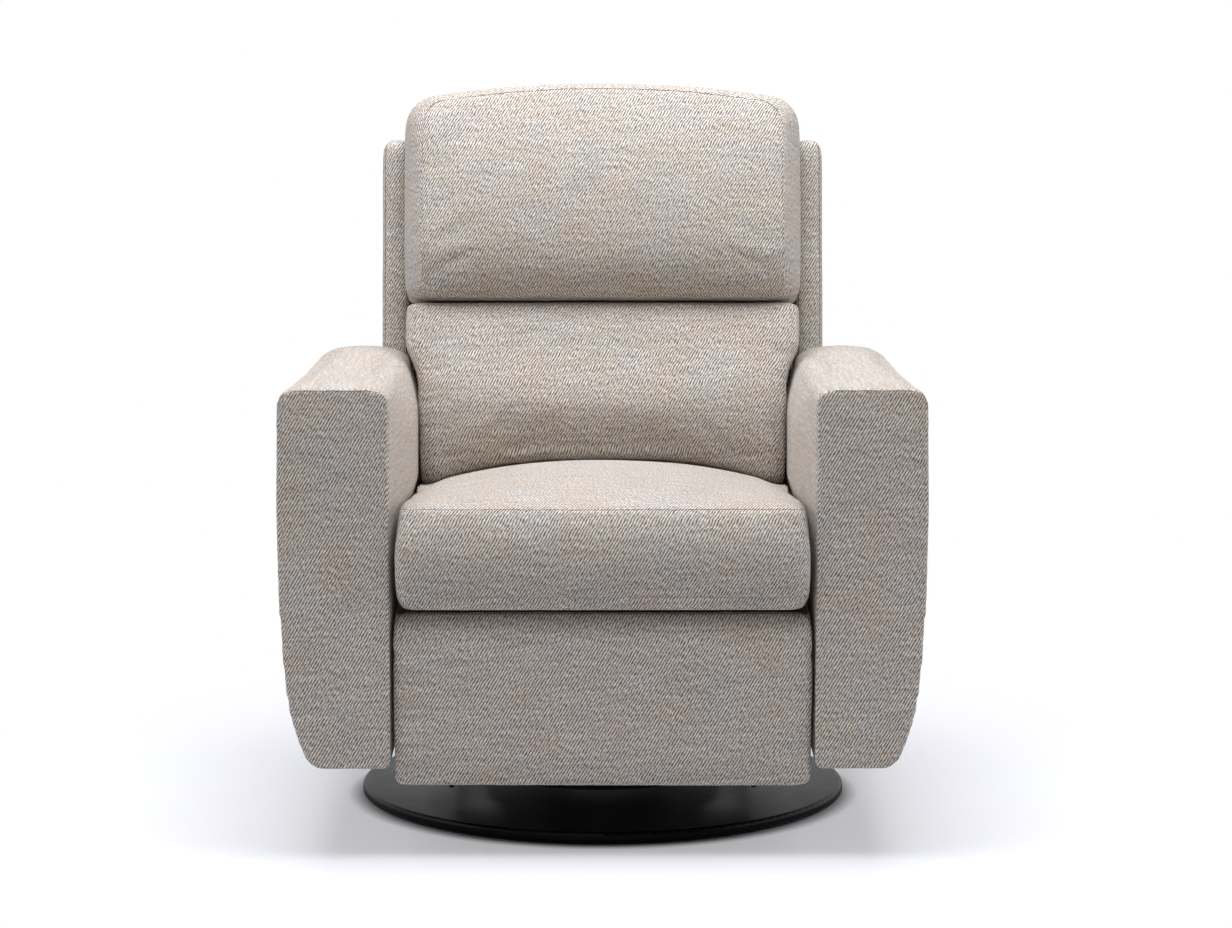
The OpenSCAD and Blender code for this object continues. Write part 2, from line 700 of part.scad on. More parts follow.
// Frame of an arm: an upright panel with a board along its top
module arm_frame(side) color(pine) sided(side) {
    y0 = arm_body_y + arm_pad + seat_gap;
    length = arm_rear_y - arm_pad - seat_gap - y0;
    top = arm_top - arm_pad - seat_gap;
    foot = arm_bottom + arm_pad + arm_frame_foot_h;
    x0 = arm_frame_in + seat_gap;
    difference() {
        union() {
            translate([x0, y0, foot]) cube([arm_board_t, length, top - foot]);
            translate([x0, y0, top - arm_board_t])
                cube([arm_cap_w_share * (arm_w - 2 * arm_pad), length, arm_board_t]);
        }
        arm_bolt_holes(x0 - over, x0 + arm_board_t + over);
    }
}

module left_arm_frame() arm_frame(-1);

module right_arm_frame() arm_frame(1);

module arm_bolts() color(bright_steel)
    for (side = [-1, 1], y = [arm_bolt_front_y, arm_bolt_rear_y]) sided(side) {
        at = [y, arm_bolt_z];
        nut_x = arm_frame_in + seat_gap + arm_board_t;
        x_pin(at, arm_bolt_r, side_rail_in - arm_bolt_head_t, nut_x + arm_bolt_head_t);
        x_pin(at, arm_bolt_head_r, side_rail_in - arm_bolt_head_t, side_rail_in);
        x_pin(at, arm_bolt_head_r, nut_x, nut_x + arm_bolt_head_t);
    }

module rear_skirt() color(fabric) translate([-skirt_half_w, side_rail_rear_y, skirt_bottom])
    cube([2 * skirt_half_w, skirt_t, skirt_top - skirt_bottom]);

module back_hinge_pins() color(bright_steel) for (side = [-1, 1]) sided(side) {
    at = [hinge_y, hinge_z];
    inner = drive_lane - seat_gap - pin_head_t;
    x_pin(at, hinge_pin_r, inner, side_rail_out + pin_head_t);
    x_pin(at, hinge_head_r, inner, inner + pin_head_t);
    x_pin(at, hinge_head_r, side_rail_out, side_rail_out + pin_head_t);
}

// Back

post_in = drive_lane + link_t;

module back_post(side) color(pine) in_back() sided(side)
    translate([post_in, post_front_w, post_foot_v])
        cube([post_t, post_rear_w - post_front_w, post_top_v - post_foot_v]);

module left_back_post() back_post(-1);

module right_back_post() back_post(1);

module back_top_rail() color(pine) in_back() translate([-post_in, post_front_w, post_top_v - top_rail_h])
    cube([2 * post_in, top_rail_w, top_rail_h]);

module back_bottom_rail() color(pine) in_back() translate([-post_in, post_front_w, bottom_rail_v])
    cube([2 * post_in, top_rail_w, bottom_rail_h]);

module back_springs() color(bright_steel) in_back() {
    foot_v = bottom_rail_v + bottom_rail_h;
    for (i = [0:back_spring_n - 1])
        translate([spring_x(i, back_spring_n, post_in), post_front_w + wire_t, foot_v]) rotate([90, 0, 0])
            zigzag(post_top_v - top_rail_h - foot_v, spring_swing, back_spring_waves);
}

// Side outline of the upper pillow in [w, v]: it rolls over the seam and laps over the frame's top
pillow_back_w = post_front_w - seat_gap;
pillow_face_w = pillow_back_w - pillow_t;
pillow_lip_r = 34;
pillow_top_r = 60;
pillow_seam_r = 14;
pillow_lap_w = post_rear_w - seat_gap;
pillow_side_r = 46;
pillow_foot_v = valley_v + pillow_rest_gap;
pillow_outline = rounded([
    [pillow_back_w, pillow_foot_v, pillow_seam_r],
    [pillow_back_w, pillow_lap_v, seat_gap],
    [pillow_lap_w, pillow_lap_v, pillow_seam_r],
    [pillow_lap_w, back_l - pillow_lip_r / 2, pillow_lip_r],
    [pillow_face_w + 2 * pillow_lip_r, back_l, 2 * pillow_top_r],
    [pillow_face_w + pillow_lip_r / 2, back_l - pillow_lip_r / 2, pillow_lip_r],
    [pillow_face_w, back_l - 3 * pillow_lip_r, pillow_top_r],
    [pillow_face_w, valley_v + 2 * pillow_lip_r, pillow_top_r],
    [pillow_face_w + pillow_lip_r, pillow_foot_v, pillow_seam_r]]);

module upper_back_pillow() color(fabric) in_back() cushion(pillow_outline,
    [(pillow_face_w + pillow_back_w) / 2, (valley_v + back_l) / 2], pillow_half_w, pillow_side_r,
    1 - 2 * pillow_side_r / (back_l - valley_v));

// Side outline of the lumbar cushion in [w, v]; its foot stays level above the seat
lumbar_foot_front_v = 124;
lumbar_foot_rear_v = 150;
lumbar_face_w = post_front_w - seat_gap - lumbar_t;
lumbar_lip_r = 30;
lumbar_side_r = 60;
lumbar_end_share = 0.35;
lumbar_centre_share = 0.8;
lumbar_gap = 2;
lumbar_outline = rounded([
    [pillow_back_w, lumbar_foot_rear_v, pillow_seam_r],
    [pillow_back_w, valley_v, pillow_seam_r],
    [lumbar_face_w + lumbar_lip_r, valley_v, pillow_seam_r],
    [lumbar_face_w, valley_v - 2 * lumbar_lip_r, pillow_top_r],
    [lumbar_face_w, lumbar_foot_front_v + 3 * lumbar_lip_r, pillow_top_r],
    [lumbar_face_w + lumbar_lip_r, lumbar_foot_front_v, pillow_seam_r]]);

module lumbar_cushion() color(fabric) in_back() cushion(lumbar_outline,
    [(lumbar_face_w + pillow_back_w) / 2,
        lumbar_foot_rear_v + lumbar_centre_share * (valley_v - lumbar_foot_rear_v)],
    arm_in - lumbar_gap, lumbar_side_r, lumbar_end_share);

wing_in = pillow_half_w + seat_gap;
wing_round_r = 30;
wing_edge_r = 8;
wing_mid_w = wing_rear_w - wing_depth / 3;
wing_outline = rounded([
    [wing_foot_w, wing_foot_v, wing_edge_r],
    [wing_rear_w, wing_foot_v, wing_edge_r],
    [wing_rear_w, wing_l, wing_round_r],
    [wing_rear_w - wing_depth, wing_l, wing_round_r],
    [wing_rear_w - wing_depth, wing_step_v, wing_round_r]]);

module back_wing(side) color(fabric) in_back() sided(side)
    skin([for (x = stations(wing_t / 2, wing_edge_r, 1, 3))
        let (inset = wing_edge_r * (1 - edge_share(x, wing_t / 2, wing_edge_r, 0)))
        [for (p = wing_outline) [wing_in + wing_t / 2 + x,
            p[0] + (p[0] < wing_mid_w ? inset : -inset),
            p[1] + (p[1] < wing_l / 2 ? inset : -inset)]]]);

module left_back_wing() back_wing(-1);

module right_back_wing() back_wing(1);

back_corner_r = 45;
back_edge_r = 6;
back_panel_outline = rounded([
    [-pillow_half_w, wing_foot_v, back_edge_r],
    [pillow_half_w, wing_foot_v, back_edge_r],
    [pillow_half_w, back_panel_v, back_corner_r],
    [-pillow_half_w, back_panel_v, back_corner_r]]);

module outside_back_panel() color(fabric) in_back()
    padded_panel(back_panel_outline, [0, back_panel_v / 2], post_rear_w, wing_rear_w, back_edge_r,
        1 - back_edge_r / pillow_half_w);

module back_hinge_brackets() color(steel) for (side = [-1, 1]) sided(side) difference() {
    in_back() side_plate(drive_lane, link_t) {
        circle(bracket_r, $fn = round_fn);
        translate([-bracket_r, 0]) square([2 * bracket_r, bracket_h]);
    }
    x_pin([hinge_y, hinge_z], hinge_pin_r + run_gap, drive_lane - over, drive_lane + link_t + over);
}

// Footrest

module foot_plate(lane) side_plate(lane, link_t) children();

module drive_link(side) color(steel) sided(side) {
    difference() {
        foot_plate(drive_lane) {
            capsule(front_yz(drive_pivot), front_yz(drive_end), link_half_w);
            capsule(front_yz(drive_end), front_yz(stay_start), link_half_w);
            translate(front_yz(drive_pivot)) circle(tube_boss_r, $fn = round_fn);
        }
        x_pin(front_yz(drive_pivot), torque_pin_r + run_gap, drive_lane - over, side_rail_in);
    }
    for (at = [front_yz(drive_end), front_yz(stay_start)]) {
        x_pin(at, rivet_r, carrier_lane - rivet_head_t / 2, drive_lane);
        x_pin(at, rivet_head_r, carrier_lane - lane_gap / 2 - rivet_head_t, carrier_lane - lane_gap / 2);
    }
}

module footrest_drive_links() for (side = [-1, 1]) drive_link(side);

module footrest_guide_links() color(steel) for (side = [-1, 1]) sided(side) {
    difference() {
        foot_plate(drive_lane) capsule(front_yz(guide_pivot), front_yz(guide_end), link_half_w);
        x_pin(front_yz(guide_pivot), rivet_r + run_gap, drive_lane - over, side_rail_in);
    }
    x_pin(front_yz(guide_end), rivet_r, carrier_lane - rivet_head_t / 2, drive_lane);
}

module footrest_carrier_links() color(steel) for (side = [-1, 1]) sided(side) {
    difference() {
        foot_plate(carrier_lane) {
            capsule(front_yz(drive_end), front_yz(carrier_pin), link_half_w);
            capsule(front_yz(drive_end), front_yz(guide_end), link_half_w);
        }
        x_pin(front_yz(drive_end), rivet_r + run_gap, carrier_lane - over, drive_lane);
        x_pin(front_yz(guide_end), rivet_r + open_pivot_gap, carrier_lane - over, drive_lane);
    }
    x_pin(front_yz(carrier_pin), rivet_r, bracket_lane - rivet_head_t / 2, carrier_lane);
}

module footrest_stay_links() color(steel) for (side = [-1, 1]) sided(side) {
    difference() {
        foot_plate(carrier_lane) capsule(front_yz(stay_start), front_yz(stay_end), link_half_w);
        x_pin(front_yz(stay_start), rivet_r + run_gap, carrier_lane - over, drive_lane);
    }
    x_pin(front_yz(stay_end), rivet_r, bracket_lane - rivet_head_t / 2, carrier_lane);
}

module footrest_brackets() color(steel) for (side = [-1, 1]) sided(side) {
    board_y = -foot_board_f + foot_board_t;
    difference() {
        foot_plate(bracket_lane) {
            capsule(front_yz(carrier_pin), front_yz(stay_end), link_half_w);
            translate([board_y, carrier_pin[1]])
                square([-carrier_pin[0] - board_y, stay_end[1] - carrier_pin[1]]);
        }
        x_pin(front_yz(carrier_pin), rivet_r + run_gap, bracket_lane - over, carrier_lane);
        x_pin(front_yz(stay_end), rivet_r + open_pivot_gap, bracket_lane - over, carrier_lane);
    }
    flange_z = stay_end[1] - bracket_flange_h;
    translate([bracket_lane + link_t - bracket_flange_w, board_y, flange_z])
        cube([bracket_flange_w, bracket_flange_t, bracket_flange_h]);
}

module footrest_torque_tube() color(steel) difference() {
    x_pin(front_yz(drive_pivot), torque_tube_r, -drive_lane, drive_lane);
    x_pin(front_yz(drive_pivot), torque_tube_r - torque_tube_wall, -drive_lane - over, drive_lane + over);
}

module footrest_board() color(pine)
    translate([-foot_w / 2 + foot_board_inset, -foot_board_f, foot_bottom + foot_board_inset])
        cube([foot_w - 2 * foot_board_inset, foot_board_t, foot_top - foot_bottom - 2 * foot_board_inset]);

foot_corner_r = 14;
foot_round_r = 14;
foot_ring_n = 6;

module footrest_cushion() color(fabric) {
    mid_z = (foot_top + foot_bottom) / 2;
    outline = rounded([
        [-foot_w / 2, foot_bottom, foot_corner_r],
        [foot_w / 2, foot_bottom, foot_corner_r],
        [foot_w / 2, foot_top, foot_corner_r],
        [-foot_w / 2, foot_top, foot_corner_r]]);
    rear_y = -foot_board_f - seat_gap;
    depth = foot_front - foot_board_f - seat_gap;
    skin([for (i = [0:foot_ring_n])
        let (t = i / foot_ring_n, inset = foot_round_r * (1 - edge_share(depth * t, depth, depth / 2, 0)))
        [for (p = outline)
            [p[0] - sign(p[0]) * inset, rear_y - depth * t, p[1] - sign(p[1] - mid_z) * inset]]]);
}

floor_pad();
floor_disc();
lower_bearing_race();
ball_cage();
bearing_balls();
race_bolts();
upper_bearing_race();
swivel_plate();
left_glider_frame();
right_glider_frame();
front_crossbar();
rear_crossbar();
upper_glide_pins();
frame_bolts();
front_left_glide_link();
front_right_glide_link();
rear_left_glide_link();
rear_right_glide_link();
front_link_bushes();
rear_link_bushes();
left_side_rail();
right_side_rail();
lower_glide_pins();
seat_front_rail();
seat_rear_rail();
seat_left_rail();
seat_right_rail();
seat_springs();
spring_clips();
seat_deck_pad();
seat_cushion();
left_arm_frame();
right_arm_frame();
left_arm_upholstery();
right_arm_upholstery();
left_arm_front();
right_arm_front();
arm_bolts();
rear_skirt();
back_hinge_pins();
left_back_post();
right_back_post();
back_top_rail();
back_bottom_rail();
back_springs();
upper_back_pillow();
lumbar_cushion();
left_back_wing();
right_back_wing();
outside_back_panel();
back_hinge_brackets();
footrest_torque_tube();
footrest_drive_links();
footrest_guide_links();
footrest_carrier_links();
footrest_stay_links();
footrest_brackets();
footrest_board();
footrest_cushion();
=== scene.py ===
"""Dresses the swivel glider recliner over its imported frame.

The cushions, arms, wings and footrest are cut as panels, sewn, stuffed and drawn in at their seams.
The steel, wood and rubber pieces of the frame keep their exact shape and get their finishes.
Metres. +Z is up, the chair faces -Y and the origin is on the floor, on the swivel axis.
"""

import json
import logging
import math
from dataclasses import dataclass, field, replace
from enum import Enum
from typing import Callable, Sequence, Union

import bmesh
import bpy
import numpy as np
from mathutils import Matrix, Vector, noise
from mathutils.bvhtree import BVHTree
from mathutils.kdtree import KDTree


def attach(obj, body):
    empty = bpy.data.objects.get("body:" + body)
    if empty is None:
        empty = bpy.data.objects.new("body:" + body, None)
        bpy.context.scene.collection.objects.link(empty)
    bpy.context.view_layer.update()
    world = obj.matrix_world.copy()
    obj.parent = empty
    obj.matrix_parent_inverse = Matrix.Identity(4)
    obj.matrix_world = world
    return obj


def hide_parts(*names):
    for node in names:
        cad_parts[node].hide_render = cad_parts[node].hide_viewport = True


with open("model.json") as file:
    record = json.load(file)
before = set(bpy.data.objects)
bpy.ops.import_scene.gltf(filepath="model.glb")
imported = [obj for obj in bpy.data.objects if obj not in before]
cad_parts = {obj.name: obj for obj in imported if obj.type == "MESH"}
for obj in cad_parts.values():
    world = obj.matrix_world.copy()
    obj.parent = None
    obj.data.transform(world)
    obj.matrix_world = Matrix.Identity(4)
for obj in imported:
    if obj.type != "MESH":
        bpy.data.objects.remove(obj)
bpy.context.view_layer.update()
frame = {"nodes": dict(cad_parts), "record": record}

LOG = logging.getLogger("recliner")
BACK_RAKE = math.radians(11.0)
BACK_HINGE = (0.0, 0.200, 0.330)
# Height and half-width of an arm's outer side, from its heel to its shoulder
FLANK = (
    (0.134, 0.3840), (0.150, 0.3920), (0.175, 0.4005), (0.205, 0.4072), (0.245, 0.4118),
    (0.290, 0.4152), (0.345, 0.4178), (0.400, 0.4196), (0.470, 0.4203), (0.540, 0.4190),
)
# Distances to a seam are read up to this one
FAR = 0.05
# Puckers beside a seam: their spacing, how far from it they fade, and their height
PUCKER = (0.011, 0.014, 0.0007)
# Length of one soft swell of the stuffing
SWELL_SIZE = 0.085
# Frames that the cloth simulation runs for
FRAMES = 20
# Blender's wave texture repeats every 2 pi / 20 units at a scale of 1
WAVE = 0.3141593
# Share of the swelling that is given before the cloth simulation gives the rest
PREFILLED = 0.55
# What a blind seam's distance is raised by, which keeps the shader from drawing its line
BLIND = 0.01
X, Y, Z = range(3)
Object = bpy.types.Object
Rows = np.ndarray
Triple = tuple[float, float, float]
Table = tuple[tuple[float, float], ...]
Test = Callable[[Vector, Vector], bool]
Tree = bpy.types.NodeTree
Inputs = dict[Union[str, int], object]
Stops = Sequence[tuple[float, str]]


class Panel(Enum):
    """The panels that a cover is cut from; a seam runs wherever two of them meet."""

    FACE = 1
    BOXING = -1
    REVERSE = 2


class Lay(Enum):
    """How the woven cloth lies on a panel."""

    FRONT = "x across, z up"
    FLAT = "x across, y to the rear"
    SIDE = "y across, z up"
    ROUND_Y = "round an outline seen from the front"
    ROUND_Z = "round an outline seen from above"


# Axes along which a face may not look, lay by lay, or its cloth would be drawn out into stripes
SQUARE = {
    Lay.FRONT: (X, Z), Lay.FLAT: (X, Y), Lay.SIDE: (Y, Z), Lay.ROUND_Y: (Y,), Lay.ROUND_Z: (Z,),
}


class Kind(Enum):
    """What a selection in edit mode picks."""

    VERT = "VERT"
    EDGE = "EDGE"
    FACE = "FACE"


class Bench:
    """The hand tools of the workshop: each method drives Blender's own modelling operators."""

    @staticmethod
    def leave() -> None:
        """Leaves edit mode."""
        if bpy.context.mode != "OBJECT":
            bpy.ops.object.mode_set(mode="OBJECT")

    @staticmethod
    def clear() -> None:
        """Leaves edit mode and deselects everything."""
        Bench.leave()
        bpy.ops.object.select_all(action="DESELECT")

    @staticmethod
    def take(obj: Object) -> None:
        """Makes obj the only selected and the active object."""
        Bench.clear()
        obj.select_set(True)
        bpy.context.view_layer.objects.active = obj

    @staticmethod
    def block(name: str, low: Triple, high: Triple) -> Object:
        """Adds a cube over a box.

        Args:
            name: the object's name.
            low: lowest corner in metres.
            high: highest corner in metres.

        Returns:
            The object, with its place and size in its mesh.
        """
        Bench.clear()
        centre = [(a + b) / 2 for a, b in zip(low, high)]
        bpy.ops.mesh.primitive_cube_add(size=1.0, location=centre)
        obj = bpy.context.object
        obj.name = name
        obj.scale = [b - a for a, b in zip(low, high)]
        Bench.settle(obj)
        return obj

    @staticmethod
    def settle(obj: Object) -> None:
        """Moves the object's place, turn and size into its mesh."""
        Bench.take(obj)
        bpy.ops.object.transform_apply(location=True, rotation=True, scale=True)

    @staticmethod
    def pick(obj: Object, kind: Kind, test: Test) -> int:
        """Enters edit mode and selects by place.

        Args:
            obj: the mesh object.
            kind: vertices, edges or faces.
            test: takes a point and a direction: a vertex and its normal, an edge's middle and its
                direction, or a face's middle and its normal.

        Returns:
            How many were picked.
        """
        Bench.take(obj)
        bpy.ops.object.mode_set(mode="EDIT")
        bpy.ops.mesh.select_mode(type=kind.value)
        bpy.ops.mesh.select_all(action="DESELECT")
        mesh = bmesh.from_edit_mesh(obj.data)
        count = 0
        if kind is Kind.VERT:
            for v in mesh.verts:
                v.select = test(v.co, v.normal)
                count += v.select
        elif kind is Kind.EDGE:
            for e in mesh.edges:
                a, b = e.verts[0].co, e.verts[1].co
                e.select = test((a + b) / 2, (b - a).normalized())
                count += e.select
        else:
            for f in mesh.faces:
                f.select = test(f.calc_center_median(), f.normal)
                count += f.select
        mesh.select_flush_mode()
        bmesh.update_edit_mesh(obj.data)
        return count

    @staticmethod
    def cut(obj: Object, axis: int, *stations: float) -> None:
        """Bisects the whole mesh square to an axis at each station, keeping both halves."""
        normal = [float(i == axis) for i in range(3)]
        for station in stations:
            Bench.pick(obj, Kind.FACE, lambda c, n: True)
            bpy.ops.mesh.bisect(plane_co=[v * station for v in normal], plane_no=normal)
            Bench.leave()

    @staticmethod
    def cut_pairs(obj: Object, stations: Sequence[float]) -> None:
        """Bisects the mesh at the same distances to the left and to the right."""
        for x in stations:
            Bench.cut(obj, X, x, -x)

    @staticmethod
    def move(obj: Object, test: Test, offset: Triple) -> None:
        """Moves the vertices that pass the test."""
        if Bench.pick(obj, Kind.VERT, test):
            bpy.ops.transform.translate(value=offset)
        Bench.leave()

    @staticmethod
    def resize(obj: Object, test: Test, factor: Triple, centre: Triple = (0.0, 0.0, 0.0)) -> None:
        """Scales the vertices that pass the test about a centre."""
        if Bench.pick(obj, Kind.VERT, test):
            bpy.ops.transform.resize(value=factor, center_override=centre)
        Bench.leave()

    @staticmethod
    def round_off(obj: Object, test: Test, radius: float, segments: int = 4) -> None:
        """Bevels the edges that pass the test into rounds."""
        if Bench.pick(obj, Kind.EDGE, test):
            bpy.ops.mesh.bevel(
                offset=radius, segments=segments, profile=0.5, affect="EDGES", clamp_overlap=True
            )
        Bench.leave()

    @staticmethod
    def pull(obj: Object, test: Test, offset: Triple) -> None:
        """Extrudes the faces that pass the test."""
        if Bench.pick(obj, Kind.FACE, test):
            bpy.ops.mesh.extrude_region_move(TRANSFORM_OT_translate={"value": offset})
        Bench.leave()

    @staticmethod
    def contour(obj: Object, test: Test, table: Sequence[tuple[float, float]]) -> None:
        """Gives a front its profile: cuts it level by level and draws each level forward or back.

        Args:
            obj: the mesh object.
            test: picks the vertices of the front.
            table: rising heights, each with its distance to the rear.
        """
        Bench.cut(obj, Z, *(z for z, _ in table[1:-1]))
        heights, depths = zip(*table)
        levels = sorted({round(v.co.z, 5) for v in obj.data.vertices if test(v.co, v.normal)})
        moves = [(z, float(np.interp(z, heights, depths))) for z in levels]
        for z, depth in moves:
            Bench.move(obj, lambda c, n: test(c, n) and abs(c.z - z) < 2e-5, (0, depth, 0))

    @staticmethod
    def apply(obj: Object, kind: str, **settings: object) -> None:
        """Adds one modifier, sets it and applies it."""
        Bench.take(obj)
        modifier = obj.modifiers.new(kind.title(), kind)
        for key, value in settings.items():
            setattr(modifier, key, value)
        bpy.ops.object.modifier_apply(modifier=modifier.name)


def points_of(obj: Object) -> Rows:
    """Returns the mesh's vertices as an array of rows."""
    co = np.empty(len(obj.data.vertices) * 3)
    obj.data.vertices.foreach_get("co", co)
    return co.reshape(-1, 3)


def set_points(obj: Object, co: Rows) -> None:
    """Writes the mesh's vertices from an array of rows."""
    obj.data.vertices.foreach_set("co", co.ravel())
    obj.data.update()


def normals_of(obj: Object) -> Rows:
    """Returns the mesh's vertex normals as an array of rows."""
    no = np.empty(len(obj.data.vertices) * 3)
    obj.data.vertex_normals.foreach_get("vector", no)
    return no.reshape(-1, 3)


def ripple(co: Rows, size: float, seed: float) -> Rows:
    """Smooth noise at each point.

    Args:
        co: points in metres.
        size: length of one swell in metres.
        seed: offset that gives each piece its own swells.

    Returns:
        Values of about -1 to 1.
    """
    shift = Vector((seed, seed * 1.7, seed * 2.3))
    return np.array([noise.noise(Vector(p) / size + shift) for p in co])


def wrap(across: float, back: float, half: float, radius: float) -> float:
    """Length along a cloth that turns round two rounded edges.

    Args:
        across: distance from the middle of the front stretch, with its sign.
        back: distance behind the front stretch.
        half: half the width of the front stretch.
        radius: radius of the two edges.

    Returns:
        The signed length from the middle, in metres.
    """
    flat = half - radius
    if back >= radius:
        return math.copysign(flat + radius * math.pi / 2 + back - radius, across)
    if abs(across) <= flat:
        return across
    return math.copysign(flat + radius * math.atan2(abs(across) - flat, radius - back), across)


@dataclass
class Cover:
    """One stuffed and sewn piece of upholstery."""

    name: str
    body: str
    nodes: tuple[str, ...]
    finish: bpy.types.Material
    voxel: float = 0.006
    puff: float = 0.012
    reach: float = 0.030
    fill: float = 0.7
    turn: float = 0.030
    profile: Table = ((0.0, 0.0), (1.0, 0.0))
    soften: int = 8
    simulated: bool = True
    seam_depth: float = 0.0022
    seam_width: float = 0.0042
    swell: float = 0.0006
    seed: float = 1.0
    leaning: bool = False
    face_lay: Lay = Lay.FRONT
    boxing_lay: Lay = Lay.ROUND_Y
    low: Triple = (0.0, 0.0, 0.0)
    high: Triple = (0.0, 0.0, 0.0)

    def cage(self) -> Object:
        """Returns the unstuffed form of the piece: its box, carved."""
        obj = Bench.block(self.name, self.low, self.high)
        self.carve(obj)
        return obj

    def carve(self, obj: Object) -> None:
        """Gives the box the form of the piece."""

    def panel(self, centre: Vector, normal: Vector) -> Panel:
        """Returns the panel that a face of the cage belongs to."""
        return Panel.FACE

    def limit(self, co: Rows, face: Rows) -> Rows:
        """How far each point may swell.

        Args:
            co: points of the unstuffed cover.
            face: true where the point is on a face panel.

        Returns:
            Distances in metres.
        """
        return np.full(len(co), self.puff)

    def held(self, co: Rows) -> Rows:
        """Returns which points stay flat on what carries the piece."""
        return np.zeros(len(co), bool)

    def stitched(self, co: Rows) -> Rows:
        """Returns how clearly the seam's stitches show at each point, 0 to 1."""
        return np.ones(len(co))

    def turned(self, lay: Lay, normal: Vector) -> Lay:
        """Returns the lay that a face takes where its panel turns square to its own lay."""
        steep = max(range(3), key=lambda i: abs(normal[i]))
        if abs(normal[steep]) < 0.8 or steep not in SQUARE[lay]:
            return lay
        return (Lay.SIDE, Lay.FRONT, Lay.FLAT)[steep]

    def unroll(self, lay: Lay, p: Vector) -> tuple[float, float]:
        """Returns where a point of the cover lies on the flat cloth, in metres."""
        if lay is Lay.FRONT:
            return p.x, p.z
        if lay is Lay.FLAT:
            return p.x, p.y
        if lay is Lay.SIDE:
            return p.y, p.z
        middle, half = (self.low[0] + self.high[0]) / 2, (self.high[0] - self.low[0]) / 2
        if lay is Lay.ROUND_Y:
            return p.y, wrap(p.x - middle, self.high[2] - p.z, half, self.turn)
        heights, depths = zip(*self.profile)
        back = p.y - self.low[1] - float(np.interp(p.z, heights, depths))
        return wrap(p.x - middle, back, half, self.turn), p.z

    def worn(self, co: Rows) -> Rows:
        """Returns how much further the padding rounds off at each point, 0 to 1."""
        return np.zeros(len(co))

    def round_worn(self, obj: Object) -> None:
        """Rounds the padding off with a long smooth where it is worn."""
        group = obj.vertex_groups.new(name="worn")
        for i, weight in enumerate(self.worn(points_of(obj))):
            if weight > 0:
                group.add([i], float(weight), "REPLACE")
        Bench.apply(obj, "SMOOTH", factor=0.5, iterations=110, vertex_group=group.name)
        obj.vertex_groups.clear()

    def sew(self) -> Object:
        """Builds the stuffed piece: cage, seams, cloth, stuffing, drawn-in seams."""
        obj = self.cage()
        seams, tree, panels = self.read_cage(obj)
        Bench.apply(obj, "REMESH", mode="VOXEL", voxel_size=self.voxel)
        rest = points_of(obj)
        distance = np.full(len(rest), FAR)
        side = np.ones(len(rest))
        for i, p in enumerate(rest):
            side[i] = 1.0 if panels[tree.find_nearest(p)[2]] is not Panel.BOXING else -1.0
            if seams is not None:
                distance[i] = min(seams.find(p)[2], FAR)
        self.lay_cloth(obj, tree, panels)
        free = 1.0 - np.exp(-((distance / self.reach) ** 1.5))
        cap = self.limit(rest, side > 0) * free
        cap[self.held(rest)] = 0.0
        Bench.apply(obj, "SMOOTH", factor=0.5, iterations=self.soften)
        if self.worn(rest).any():
            self.round_worn(obj)
        rest = points_of(obj)
        share = PREFILLED if self.simulated else 1.0
        set_points(obj, rest + normals_of(obj) * (cap * share)[:, None])
        if share < 1.0:
            self.inflate(obj, rest, cap, distance < self.voxel * 0.8)
        co = points_of(obj)
        near = np.exp(-((distance / self.seam_width) ** 2)) * (0.25 + 0.75 * self.stitched(rest))
        spacing, fade, height = PUCKER
        tucks = ripple(co, spacing, self.seed) * np.exp(-((distance / fade) ** 2)) * height
        swells = ripple(co, SWELL_SIZE, self.seed + 5) * self.swell * (cap > 0)
        lift = swells + tucks - near * self.seam_depth
        set_points(obj, co + normals_of(obj) * lift[:, None])
        seam = obj.data.attributes.new("seam", "FLOAT", "POINT")
        shown = (distance + (1.0 - self.stitched(rest)) * BLIND) * side
        seam.data.foreach_set("value", shown.astype(np.float32))
        Bench.apply(obj, "SUBSURF", levels=1, render_levels=1, uv_smooth="NONE")
        self.place(obj)
        return self.dress(obj)

    def read_cage(self, obj: Object) -> tuple[Union[KDTree, None], BVHTree, list[Panel]]:
        """Reads the seams and panels off the cage.

        Args:
            obj: the cage.

        Returns:
            A tree of points along the seams or None, a tree of the cage's faces, and their panels.
        """
        mesh = bmesh.new()
        mesh.from_mesh(obj.data)
        bmesh.ops.triangulate(mesh, faces=mesh.faces)
        mesh.faces.ensure_lookup_table()
        panels = [self.panel(f.calc_center_median(), f.normal) for f in mesh.faces]
        along = []
        for e in mesh.edges:
            if len({panels[f.index] for f in e.link_faces}) > 1:
                a, b = e.verts[0].co, e.verts[1].co
                steps = max(1, int((b - a).length / 0.001))
                along += [a.lerp(b, i / steps) for i in range(steps + 1)]
        tree = BVHTree.FromBMesh(mesh)
        mesh.free()
        if not along:
            return None, tree, panels
        seams = KDTree(len(along))
        for i, p in enumerate(along):
            seams.insert(p, i)
        seams.balance()
        return seams, tree, panels

    def lay_cloth(self, obj: Object, tree: BVHTree, panels: list[Panel]) -> None:
        """Writes the cloth map: each panel's weave runs straight on the flat cloth."""
        layer = obj.data.uv_layers.new(name="cloth")
        uv = np.empty((len(obj.data.loops), 2))
        verts = obj.data.vertices
        for f in obj.data.polygons:
            panel = panels[tree.find_nearest(f.center)[2]]
            lay = self.turned(self.face_lay if panel is Panel.FACE else self.boxing_lay, f.normal)
            for i in f.loop_indices:
                uv[i] = self.unroll(lay, verts[obj.data.loops[i].vertex_index].co)
        layer.data.foreach_set("uv", uv.ravel())

